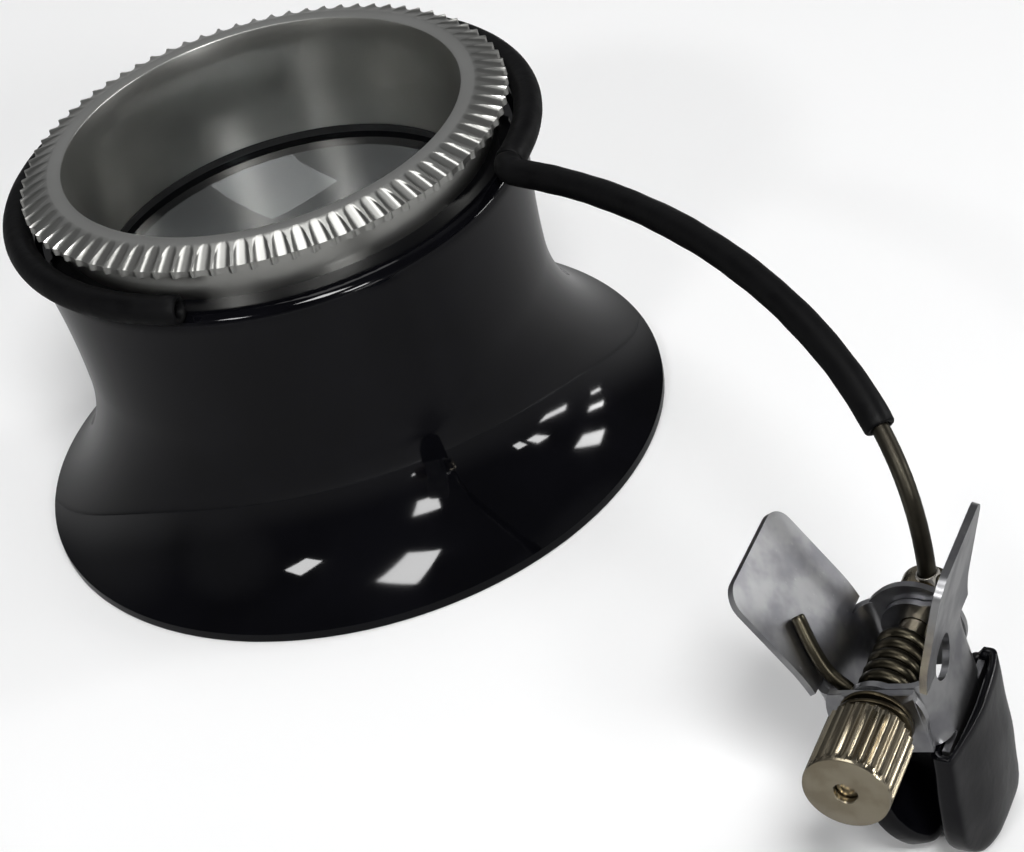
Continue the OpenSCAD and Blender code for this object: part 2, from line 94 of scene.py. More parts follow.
# Points closer than this, in millimetres, are welded.
SECTOR_WELD = 0.002
SOLID_WELD = 0.001
# Width of the broken edges of stamped pieces, in millimetres.
WASHER_EDGE = 0.05
LEAF_EDGE = 0.07
# Cuts through a leaf: how far one may miss a point, and the sizes of the slivers that are welded or dissolved.
CUT_REACH = 0.0001
SLIVER_WELD = 0.015
SLIVER_EDGE = 0.012
# Rounded end of a wire: how far each step stands out and how thick it is, in shares of the radius.
WIRE_END = ((0.3, 0.72), (0.2, 0.9))

Point = Sequence[float]
Value = float | NodeSocket


class Body(str, Enum):
    """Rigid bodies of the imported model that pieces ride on."""

    EYEPIECE = "eyepiece"
    RING = "ring"
    HANGER = "hanger"
    LEFT_JAW = "left_jaw"
    RIGHT_JAW = "right_jaw"
    NUT = "nut"


class Slot(str, Enum):
    """Material slots of the record."""

    CUP = "cup"
    LENS = "lens"
    GASKET = "gasket"
    RING = "ring"
    WIRE = "wire"
    SLEEVE = "sleeve"
    PLATED = "plated"
    WASHER = "washer"
    LEAF = "leaf"
    BOOT = "boot"
    SPRING = "spring"


class Sides(IntEnum):
    """Points round a piece."""

    CUP = 192
    EAR = 96
    BOOT = 72
    PIN = 64
    COLLAR = 48
    SLEEVE = 28
    WIRE = 20
    SPRING = 16


# ---- colours and nodes


def linear(code: str) -> tuple[float, float, float, float]:
    """Turns an sRGB colour code into linear values.

    Args:
        code: colour such as "#1A2B3C".

    Returns:
        Red, green, blue and alpha.
    """

    def channel(pair: str) -> float:
        value = int(pair, 16) / 255.0
        return value / 12.92 if value <= 0.04045 else ((value + 0.055) / 1.055) ** 2.4

    return (channel(code[1:3]), channel(code[3:5]), channel(code[5:7]), 1.0)


class Graph:
    """Fills a node tree."""

    def __init__(self, tree: NodeTree) -> None:
        """Starts on a tree.

        Args:
            tree: the node tree.
        """
        self.tree = tree

    @classmethod
    def of(cls, owner: ID) -> Graph:
        """Starts on the emptied tree of a material or a world.

        Args:
            owner: the material or the world.

        Returns:
            The graph.
        """
        owner.use_nodes = True
        owner.node_tree.nodes.clear()
        return cls(owner.node_tree)

    def node(self, kind: str, inputs: dict | None = None, **settings) -> Node:
        """Adds a node, sets its properties and fills or links its inputs.

        Args:
            kind: node type name.
            inputs: values or output sockets, by the input's name or index.
            **settings: properties of the node.

        Returns:
            The new node.
        """
        node = self.tree.nodes.new(kind)
        for name, value in settings.items():
            setattr(node, name, value)
        for key, value in (inputs or {}).items():
            if isinstance(value, NodeSocket):
                self.tree.links.new(value, node.inputs[key])
            else:
                node.inputs[key].default_value = value
        return node

    def __call__(self, kind: str, inputs: dict | None = None, out: int | str = 0, **settings) -> NodeSocket:
        """Adds a node and gives one of its outputs.

        Args:
            kind: node type name.
            inputs: as for node().
            out: name or index of the output.
            **settings: properties of the node.

        Returns:
            The output socket.
        """
        return self.node(kind, inputs, **settings).outputs[out]

    def math(self, operation: str, a: Value, b: Value) -> NodeSocket:
        """Adds an operation on two values.

        Args:
            operation: name of the operation.
            a: first value.
            b: second value.

        Returns:
            The result's socket.
        """
        return self("ShaderNodeMath", {0: a, 1: b}, operation=operation)

    def ramp(self, value: NodeSocket, start: Point, to: Point = (0.0, 1.0), soft: bool = True) -> NodeSocket:
        """Adds a map from one range to another.

        Args:
            value: the value.
            start: the range that it comes from.
            to: the range that it goes to.
            soft: eases in and out.

        Returns:
            The result's socket.
        """
        ends = {"Value": value, "From Min": start[0], "From Max": start[1], "To Min": to[0], "To Max": to[1]}
        return self("ShaderNodeMapRange", ends, interpolation_type="SMOOTHSTEP" if soft else "LINEAR")

    def blend(self, share: NodeSocket, a: str | NodeSocket, b: str) -> NodeSocket:
        """Adds a mix of two colours.

        Args:
            share: share of the second colour.
            a: first colour, a code or a socket.
            b: code of the second colour.

        Returns:
            The colour's socket.
        """
        first = linear(a) if isinstance(a, str) else a
        return self("ShaderNodeMix", {"Factor": share, "A": first, "B": linear(b)}, "Result", data_type="RGBA")


@dataclass(frozen=True)
class Finish:
    """A procedural surface for one real material.

    Attributes:
        name: name of the material.
        base: main colour code.
        tone: second colour code, which a soft broad noise blends in.
        metallic: 1 for bare metal, 0 for the rest.
        rough: roughness where the surface is clean.
        rough_worn: roughness where the broad noise says it is dull.
        patch: size of the broad patches.
        grain: size of a grain along X, Y and Z.
        relief: height of the grain.
        specular: specular level of a surface that isn't metal.
        turned: the grain runs round the part's Z axis, as the marks of a lathe do.
        scratches: how much lighter and duller the fine scratches are.
    """

    name: str
    base: str
    tone: str
    metallic: float = 0.0
    rough: float = 0.4
    rough_worn: float = 0.5
    patch: float = 3.0
    grain: tuple[float, float, float] = (0.3, 0.3, 0.3)
    relief: float = 0.003
    specular: float = 0.5
    turned: bool = False
    scratches: float = 0.0

    def place(self, nodes: Graph) -> NodeSocket:
        """Coordinates of the grain: plain ones, or radius, arc and height round the Z axis.

        Args:
            nodes: the material's graph.

        Returns:
            A vector socket, in grains.
        """
        here = nodes("ShaderNodeTexCoord", out="Object")
        if self.turned:
            x, y, z = nodes.node("ShaderNodeSeparateXYZ", {0: here}).outputs
            flat = nodes("ShaderNodeCombineXYZ", {"X": x, "Y": y})
            radius = nodes("ShaderNodeVectorMath", {0: flat}, "Value", operation="LENGTH")
            along = nodes.math("MULTIPLY", nodes.math("ARCTAN2", y, x), TURNED_RADIUS)
            here = nodes("ShaderNodeCombineXYZ", {"X": radius, "Y": along, "Z": z})
        counts = tuple(1.0 / (size * MM) for size in self.grain)
        return nodes("ShaderNodeVectorMath", {0: here, 1: counts}, operation="MULTIPLY")

    def scratch_mask(self, nodes: Graph) -> NodeSocket:
        """Fine crossing scratches.

        Args:
            nodes: the material's graph.

        Returns:
            A value socket, 1 on a scratch.
        """
        here = nodes("ShaderNodeTexCoord", out="Object")
        layers = []
        for turn, scale in SCRATCHES:
            turned = nodes("ShaderNodeMapping", {"Vector": here, "Rotation": turn, "Scale": scale})
            noise = nodes("ShaderNodeTexNoise", {"Vector": turned, "Scale": 1.0, "Detail": 1.0}, "Fac")
            layers.append(nodes.ramp(noise, SCRATCH_EDGE, soft=False))
        return nodes.math("MAXIMUM", *layers)

    def build(self) -> Material:
        """Makes the material.

        Returns:
            The finished material.
        """
        material = bpy.data.materials.new(self.name)
        nodes = Graph.of(material)
        here = nodes("ShaderNodeTexCoord", out="Object")
        fine = {"Vector": self.place(nodes), "Scale": 1.0, "Detail": 3.0, "Roughness": 0.55}
        grain = nodes("ShaderNodeTexNoise", fine, "Fac")
        clouds = {"Vector": here, "Scale": 1.0 / (self.patch * MM), "Detail": 3.0}
        broad = nodes("ShaderNodeTexNoise", clouds, "Fac")
        patch = nodes.ramp(broad, PATCH_EDGE)
        colour = nodes.blend(patch, self.base, self.tone)
        rough = nodes.ramp(patch, (0.0, 1.0), (self.rough, self.rough_worn), soft=False)
        if self.scratches:
            share = nodes.math("MULTIPLY", self.scratch_mask(nodes), self.scratches)
            colour = nodes.blend(share, colour, SCRATCH_COLOUR)
            rough = nodes.math("ADD", rough, share)
        bump = nodes("ShaderNodeBump", {"Height": grain, "Distance": self.relief * MM, "Strength": 1.0})
        surface = {"Base Color": colour, "Metallic": self.metallic, "Roughness": rough, "Normal": bump}
        if not self.metallic:
            surface["Specular IOR Level"] = self.specular
        nodes.node("ShaderNodeOutputMaterial", {"Surface": nodes("ShaderNodeBsdfPrincipled", surface)})
        return material


def lens_glass() -> Material:
    """Polished optical glass with a trace of dust in its tint; shadow rays pass straight through it.

    Returns:
        The finished material.
    """
    material = bpy.data.materials.new("Optical_glass")
    nodes = Graph.of(material)
    here = nodes("ShaderNodeTexCoord", out="Object")
    dust = nodes("ShaderNodeTexNoise", {"Vector": here, "Scale": 900.0, "Detail": 3.0}, "Fac")
    tint = nodes.blend(dust, "#F8FBFB", "#E6ECEC")
    surface = {"Base Color": tint, "Roughness": 0.0, "IOR": 1.52, "Transmission Weight": 1.0}
    glass = nodes("ShaderNodeBsdfPrincipled", surface)
    clear = nodes("ShaderNodeBsdfTransparent", {"Color": linear("#E8EEEE")})
    shadow = nodes("ShaderNodeLightPath", out="Is Shadow Ray")
    mix = nodes("ShaderNodeMixShader", {"Fac": shadow, 1: glass, 2: clear})
    nodes.node("ShaderNodeOutputMaterial", {"Surface": mix})
    return material


FINISHES = {
    # Polished black moulded plastic: deep black, with clear small reflections and faint smudges.
    Slot.CUP: Finish("Polished_black_plastic", "#050507", "#07070A", rough=0.035, rough_worn=0.075, patch=5.0,
                     grain=(1.2, 1.2, 1.2), relief=0.0006, specular=0.21),
    # Flat black rubber ring.
    Slot.GASKET: Finish("Flat_black_rubber", "#070708", "#0D0D0E", rough=0.6, rough_worn=0.75, specular=0.3),
    # Turned bright metal: the marks of the tool run round the axis, 0.2 mm apart so that they show.
    Slot.RING: Finish("Turned_bright_metal", "#BCBCB8", "#B3B3AF", metallic=1.0, rough=0.282, rough_worn=0.315,
                      patch=6.0, grain=(0.2, 6.0, 0.2), relief=0.0022, turned=True),
    # Drawn spring wire, dull and a little olive.
    Slot.WIRE: Finish("Drawn_spring_wire", "#3F3C34", "#33302A", metallic=1.0, rough=0.34, rough_worn=0.46,
                      patch=1.5, grain=(0.15, 0.15, 1.2), relief=0.004),
    # Black shrink sleeve, matt, with a slightly uneven skin.
    Slot.SLEEVE: Finish("Black_shrink_sleeve", "#040405", "#070708", rough=0.46, rough_worn=0.6, patch=1.6,
                        grain=(0.5, 0.5, 0.5), relief=0.02, specular=0.12),
    # Nickel plate on turned brass, warm, bright on its edges.
    Slot.PLATED: Finish("Warm_nickel_plate", "#AAA18D", "#998F7B", metallic=1.0, rough=0.18, rough_worn=0.265,
                        patch=1.4, grain=(0.12, 0.12, 0.12), relief=0.0012),
    # Nickel over brass, worn brownish.
    Slot.WASHER: Finish("Worn_nickel_on_brass", "#5C5443", "#463F31", metallic=1.0, rough=0.29, rough_worn=0.42,
                        patch=0.7, grain=(0.2, 0.2, 0.2), relief=0.003),
    # Stamped spring steel with clouded patches and fine scratches.
    Slot.LEAF: Finish("Stamped_spring_steel", "#ACACAD", "#87878B", metallic=1.0, rough=0.282, rough_worn=0.34,
                      patch=2.2, grain=(0.5, 0.5, 0.5), relief=0.0012, scratches=0.22),
    # Glossy soft black plastic, dipped, with a gently uneven skin.
    Slot.BOOT: Finish("Glossy_soft_black_plastic", "#040406", "#07070A", rough=0.12, rough_worn=0.24, patch=2.5,
                      grain=(1.4, 1.4, 1.4), relief=0.03, specular=0.24),
    # Oiled spring wire, brownish.
    Slot.SPRING: Finish("Oiled_spring_wire", "#474338", "#38342B", metallic=1.0, rough=0.285, rough_worn=0.36,
                        patch=0.9, grain=(0.15, 0.15, 0.15), relief=0.002),
}

# Nickel plate on the small collar, painted lighter than the rest of the plate: painted light where the collar catches
# the light.
COLLAR = Finish("Nickel_collar_painted_light", "#D8D4CB", "#C9C4B9", metallic=1.0, rough=0.16, rough_worn=0.24, patch=0.6,
                grain=(0.1, 0.1, 0.1), relief=0.001)


# ---- points and meshes


def spread(first: float, last: float, steps: int) -> list[float]:
    """Evenly spaced values, ends included.

    Args:
        first: first value.
        last: last value.
        steps: number of steps.

    Returns:
        The values.
    """
    return [first + (last - first) * i / steps for i in range(steps + 1)]


def circle(count: int) -> list[tuple[float, float]]:
    """Cosine and sine of angles that are spread round a circle.

    Args:
        count: number of angles.

    Returns:
        The pairs in order.
    """
    return [(math.cos(TAU * k / count), math.sin(TAU * k / count)) for k in range(count)]


def arc(centre: Point, radius: float, start: float, end: float, steps: int) -> list[tuple[float, float]]:
    """Points on an arc, ends included.

    Args:
        centre: centre of the arc.
        radius: its radius.
        start: first angle in degrees.
        end: last angle in degrees.
        steps: number of steps.

    Returns:
        The points in order.
    """
    turns = [math.radians(a) for a in spread(start, end, steps)]
    return [(centre[0] + radius * math.cos(a), centre[1] + radius * math.sin(a)) for a in turns]


def sagitta_radius(rise: float, reach: float) -> float:
    """Radius of an arc that starts upright and bows out by reach over a height.

    Args:
        rise: the height.
        reach: how far it bows out.

    Returns:
        The radius.
    """
    return (rise * rise + reach * reach) / (2.0 * reach)


def smooth_path(points: Sequence[Vector], steps: int) -> list[Vector]:
    """A smooth curve through points.

    Args:
        points: points in order.
        steps: steps between two points.

    Returns:
        The curve's points.
    """
    curve = []
    for i in range(len(points) - 1):
        a, b = points[i], points[i + 1]
        before = points[i - 1] if i else a + (a - b)
        after = points[i + 2] if i + 2 < len(points) else b + (b - a)
        for k in range(steps):
            t = k / steps
            curve.append(
                0.5 * ((2 * a) + (b - before) * t + (2 * before - 5 * a + 4 * b - after) * t**2
                       + (3 * a - before - 3 * b + after) * t**3)
            )
    curve.append(points[-1])
    return curve


def tidy_mesh(mesh: Mesh, angle: float, merge: float = 0.0) -> None:
    """Turns the faces outwards and shades them smooth, with crisp edges over an angle.

    Args:
        mesh: a closed mesh.
        angle: least angle of a crisp edge, in degrees.
        merge: edges shorter than this are dissolved.
    """
    shell = bmesh.new()
    shell.from_mesh(mesh)
    if merge:
        bmesh.ops.dissolve_degenerate(shell, dist=merge * MM, edges=shell.edges)
    bmesh.ops.recalc_face_normals(shell, faces=shell.faces)
    for face in shell.faces:
        face.smooth = True
    limit = math.radians(angle)
    for edge in shell.edges:
        edge.smooth = not (edge.is_manifold and edge.calc_face_angle(0.0) > limit)
    shell.to_mesh(mesh)
    shell.free()
    mesh.update()


def grid_mesh(name: str, rows: Sequence[Sequence[Point]], closed: bool, angle: float = CRISP) -> Mesh:
    """Joins rings of points into a skin.

    Args:
        name: name of the mesh.
        rows: rings of points in millimetres, all of one length.
        closed: joins the last ring to the first; otherwise both get a lid.
        angle: least angle of a crisp edge, in degrees.

    Returns:
        The mesh in metres.
    """
    count, total = len(rows[0]), len(rows)
    faces = []
    for i in range(total if closed else total - 1):
        a, b = i * count, ((i + 1) % total) * count
        faces += [(a + k, a + (k + 1) % count, b + (k + 1) % count, b + k) for k in range(count)]
    if not closed:
        faces += [tuple(reversed(range(count))), tuple(range((total - 1) * count, total * count))]
    mesh = bpy.data.meshes.new(name)
    mesh.from_pydata([[c * MM for c in p] for row in rows for p in row], [], faces)
    mesh.validate()
    tidy_mesh(mesh, angle)
    return mesh


def hollow_tube(name: str, path: Sequence[Vector], outer: float, inner: float,
                uneven: Callable[[float], float] = lambda t: 1.0) -> Mesh:
    """A sleeve: a tube with a bore and rounded lips at its ends.

    Args:
        name: name of the mesh.
        path: points in millimetres.
        outer: outer radius.
        inner: bore radius.
        uneven: factor on the outer radius at a share of the path.

    Returns:
        The mesh in metres.
    """
    last = len(path) - 1
    tangents = [(path[min(i + 1, last)] - path[max(i - 1, 0)]).normalized() for i in range(last + 1)]
    helper = Vector((0.0, 0.0, 1.0)) if abs(tangents[0].z) < 0.9 else Vector((0.0, 1.0, 0.0))
    u = tangents[0].cross(helper).normalized()
    outside, inside = [], []
    for i, (p, t) in enumerate(zip(path, tangents)):
        if i:
            u = (u - t * u.dot(t)).normalized()
        w = t.cross(u)
        for rows, r in ((outside, outer * uneven(i / last)), (inside, inner)):
            rows.append([p + u * (r * c) + w * (r * s) for c, s in circle(Sides.SLEEVE)])
    lip = LIP_OUT * (outer - inner)
    ends = []
    for i, way in ((0, path[0] - path[1]), (-1, path[-1] - path[-2])):
        step = way.normalized() * lip
        pairs = list(zip(outside[i], inside[i]))
        ends.append([[(a * (1.0 - k) + b * k) + step for a, b in pairs] for k in LIP_AT])
    return grid_mesh(name, outside + ends[1] + inside[::-1] + ends[0][::-1], closed=True, angle=SMOOTH)


# ---- objects and Geometry Nodes


def add_object(name: str, data: ID, material: Material | None = None) -> Object:
    """Puts a mesh, a lamp or a camera into the scene.

    Args:
        name: name of the object.
        data: what it shows.
        material: the only material of a mesh.

    Returns:
        The new object.
    """
    if material:
        data.materials.clear()
        data.materials.append(material)
    obj = bpy.data.objects.new(name, data)
    bpy.context.scene.collection.objects.link(obj)
    return obj


def break_edges(obj: Object, width: float) -> None:
    """Rounds the sharp edges of an object a little, so that they catch the light.

    Args:
        obj: the object.
        width: width of the rounding in millimetres.
    """
    weld = obj.modifiers.new("Weld", "WELD")
    weld.merge_threshold = SOLID_WELD * MM
    bevel = obj.modifiers.new("Broken_edges", "BEVEL")
    bevel.width = width * MM
    bevel.segments = 2
    bevel.limit_method = "ANGLE"
    bevel.angle_limit = math.radians(CRISP)
    bevel.use_clamp_overlap = True
    bevel.harden_normals = True


@dataclass
class Workshop:
    """Adds pieces and ties them to the model.

    Attributes:
        materials: materials by slot.
    """

    materials: dict[Slot, Material]

    def add(self, name: str, mesh: Mesh, body: Body, slot: Slot, *nodes: str, edge: float = 0.0,
            material: Material | None = None) -> None:
        """Adds a piece.

        Args:
            name: name of the piece.
            mesh: mesh in metres.
            body: body that it rides on.
            slot: material slot of the record.
            *nodes: solids that it stands for.
            edge: width of its broken edges in millimetres.
            material: its material, if it isn't the slot's own.
        """
        obj = add_object(name, mesh, material or self.materials[slot])
        if edge:
            break_edges(obj, edge)
        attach(obj, body.value)
        if nodes:
            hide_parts(*nodes)
        LOG.info("%s rides on %s", name, body.value)


def repeat_sector(nodes: Graph, given: NodeOutputs) -> NodeSocket:
    """Repeats a sector round the Z axis and welds the sectors together.

    Args:
        nodes: the graph.
        given: the inputs Source, Count and Weld.

    Returns:
        The geometry's socket.
    """
    step = nodes.math("DIVIDE", TAU, given["Count"])
    angle = nodes.math("MULTIPLY", nodes("GeometryNodeInputIndex"), step)
    turn = nodes("FunctionNodeEulerToRotation", {0: nodes("ShaderNodeCombineXYZ", {"Z": angle})})
    points = nodes("GeometryNodePoints", {"Count": given["Count"]})
    places = {"Points": points, "Instance": given["Source"], "Rotation": turn}
    real = nodes("GeometryNodeRealizeInstances", {0: nodes("GeometryNodeInstanceOnPoints", places)})
    return nodes("GeometryNodeMergeByDistance", {"Geometry": real, "Distance": given["Weld"]})


def sweep_section(nodes: Graph, given: NodeOutputs) -> NodeSocket:
    """Sweeps a round section along a chain of points; each point's thick attribute scales it.

    Args:
        nodes: the graph.
        given: the inputs Source, Radius and Sides.

    Returns:
        The geometry's socket.
    """
    thick = nodes("GeometryNodeInputNamedAttribute", {"Name": "thick"}, data_type="FLOAT")
    curve = nodes("GeometryNodeMeshToCurve", {"Mesh": given["Source"]})
    sized = nodes("GeometryNodeSetCurveRadius", {"Curve": curve, "Radius": thick})
    section = nodes("GeometryNodeCurvePrimitiveCircle", {"Resolution": given["Sides"], "Radius": given["Radius"]})
    swept = nodes.node("GeometryNodeCurveToMesh", {"Curve": sized, "Profile Curve": section, "Fill Caps": True})
    if "Scale" in swept.inputs:
        nodes.tree.links.new(thick, swept.inputs["Scale"])
    return nodes("GeometryNodeRealizeInstances", {0: swept.outputs[0]})


def run_tree(source: Mesh, make: Callable[[Graph, NodeOutputs], NodeSocket], finish: Material,
             **values: float) -> Mesh:
    """Makes a Geometry Nodes tree, runs it on a mesh and keeps the result as a plain mesh.

    Args:
        source: the mesh that the tree reads.
        make: fills the tree and gives its geometry.
        finish: material of the result.
        **values: the tree's own inputs; a whole number makes a whole input.

    Returns:
        The result.
    """
    tree = bpy.data.node_groups.new(make.__name__, "GeometryNodeTree")
    kinds = {name: "Int" if isinstance(value, int) else "Float" for name, value in values.items()}
    for name, kind in {"Source": "Geometry", **kinds, "Finish": "Material"}.items():
        tree.interface.new_socket(name, in_out="INPUT", socket_type="NodeSocket" + kind)
    tree.interface.new_socket("Result", in_out="OUTPUT", socket_type="NodeSocketGeometry")
    nodes = Graph(tree)
    given = nodes.node("NodeGroupInput").outputs
    dress = {"Geometry": make(nodes, given), "Material": given["Finish"]}
    nodes.node("NodeGroupOutput", {0: nodes("GeometryNodeSetMaterial", dress)})
    obj = add_object(source.name, source)
    modifier = obj.modifiers.new("Tree", "NODES")
    modifier.node_group = tree
    values["Finish"] = finish
    for item in tree.interface.items_tree:
        if item.item_type == "SOCKET" and item.in_out == "INPUT" and item.name in values:
            modifier[item.identifier] = values[item.name]
    graph = bpy.context.evaluated_depsgraph_get()
    graph.update()
    mesh = bpy.data.meshes.new_from_object(obj.evaluated_get(graph), preserve_all_data_layers=True, depsgraph=graph)
    obj.modifiers.remove(modifier)
    bpy.data.objects.remove(obj)
    return mesh


def swept_wire(name: str, path: Sequence[Vector], radius: float, sides: int,
               finish: Material) -> Mesh:
    """A solid wire with softly rounded ends, swept along a path by Geometry Nodes.

    Args:
        name: name of the wire.
        path: points in millimetres.
        radius: radius of the wire in millimetres.
        sides: points round the wire.
        finish: its material.

    Returns:
        The mesh in metres.
    """
    head = (path[0] - path[1]).normalized() * radius
    tail = (path[-1] - path[-2]).normalized() * radius
    points = [path[0] + head * out for out, _ in WIRE_END] + list(path)
    points += [path[-1] + tail * out for out, _ in reversed(WIRE_END)]
    ends = [size for _, size in WIRE_END]
    chain = bpy.data.meshes.new(name + "_path")
    chain.from_pydata([p * MM for p in points], [(i, i + 1) for i in range(len(points) - 1)], [])
    thick = chain.attributes.new("thick", "FLOAT", "POINT")
    thick.data.foreach_set("value", ends + [1.0] * len(path) + ends[::-1])
    mesh = run_tree(chain, sweep_section, finish, Radius=radius * MM, Sides=int(sides))
    tidy_mesh(mesh, 60.0)
    return mesh


@dataclass
class FlutedTurning:
    """A turned piece with grooves repeated round its axis: one sector, repeated by Geometry Nodes.

    Attributes:
        outline: closed outline of (radius, height) or (radius, height, cut in radius, cut in height). The cut is
            how far the middle of a groove moves that point.
        count: number of grooves.
        groove_half: half the width of a groove at its full depth.
        full_cut: length of a full cut.
        inner_steps: steps across a groove.
        land_steps: steps across half a land.
        flatness: even power that shapes a groove: 2 is a round one, and more makes its floor flatter.
        opening: power by which a groove widens with its depth.
    """

    outline: list[Point]
    count: int
    groove_half: float
    full_cut: float
    inner_steps: int = 10
    land_steps: int = 2
    flatness: int = 2
    opening: float = 0.5

    def columns(self, radius: float, cut: float) -> list[tuple[float, float]]:
        """Places across one sector at a point of the outline.

        Args:
            radius: radius of the point.
            cut: length of its cut.

        Returns:
            Pairs of angle and share of the cut.
        """
        half = math.pi / self.count
        if cut <= 0.0:
            total = self.inner_steps + 2 * self.land_steps
            return [(half * (2.0 * k / total - 1.0), 0.0) for k in range(total + 1)]
        groove = self.groove_half * min(cut / self.full_cut, 1.0) ** self.opening / radius
        steps = range(self.land_steps)
        marks = [(-half + (half - groove) * k / self.land_steps, 0.0) for k in steps]
        for k in range(self.inner_steps + 1):
            u = 2.0 * k / self.inner_steps - 1.0
            marks.append((groove * u, 1.0 - u**self.flatness))
        return marks + [(groove + (half - groove) * (k + 1) / self.land_steps, 0.0) for k in steps]

    def mesh(self, name: str, finish: Material, angle: float) -> Mesh:
        """The whole piece, with its axis along Z.

        Args:
            name: name of the mesh.
            finish: its material.
            angle: least angle of a crisp edge, in degrees.

        Returns:
            The mesh in metres.
        """
        rows = []
        for point in self.outline:
            radius, height, cut_r, cut_z = (*point, 0.0, 0.0)[:4]
            row = []
            for turn, share in self.columns(radius, math.hypot(cut_r, cut_z)):
                r = radius + cut_r * share
                row.append((r * math.cos(turn) * MM, r * math.sin(turn) * MM, (height + cut_z * share) * MM))
            rows.append(row)
        across = len(rows[0])
        faces = []
        for i in range(len(rows)):
            a, b = i * across, ((i + 1) % len(rows)) * across
            faces += [(a + k, a + k + 1, b + k + 1, b + k) for k in range(across - 1)]
        sector = bpy.data.meshes.new(name + "_sector")
        sector.from_pydata([p for row in rows for p in row], [], faces)
        mesh = run_tree(sector, repeat_sector, finish, Count=self.count, Weld=SECTOR_WELD * MM)
        tidy_mesh(mesh, angle, merge=SOLID_WELD)
        return mesh


# ---- sub-assemblies


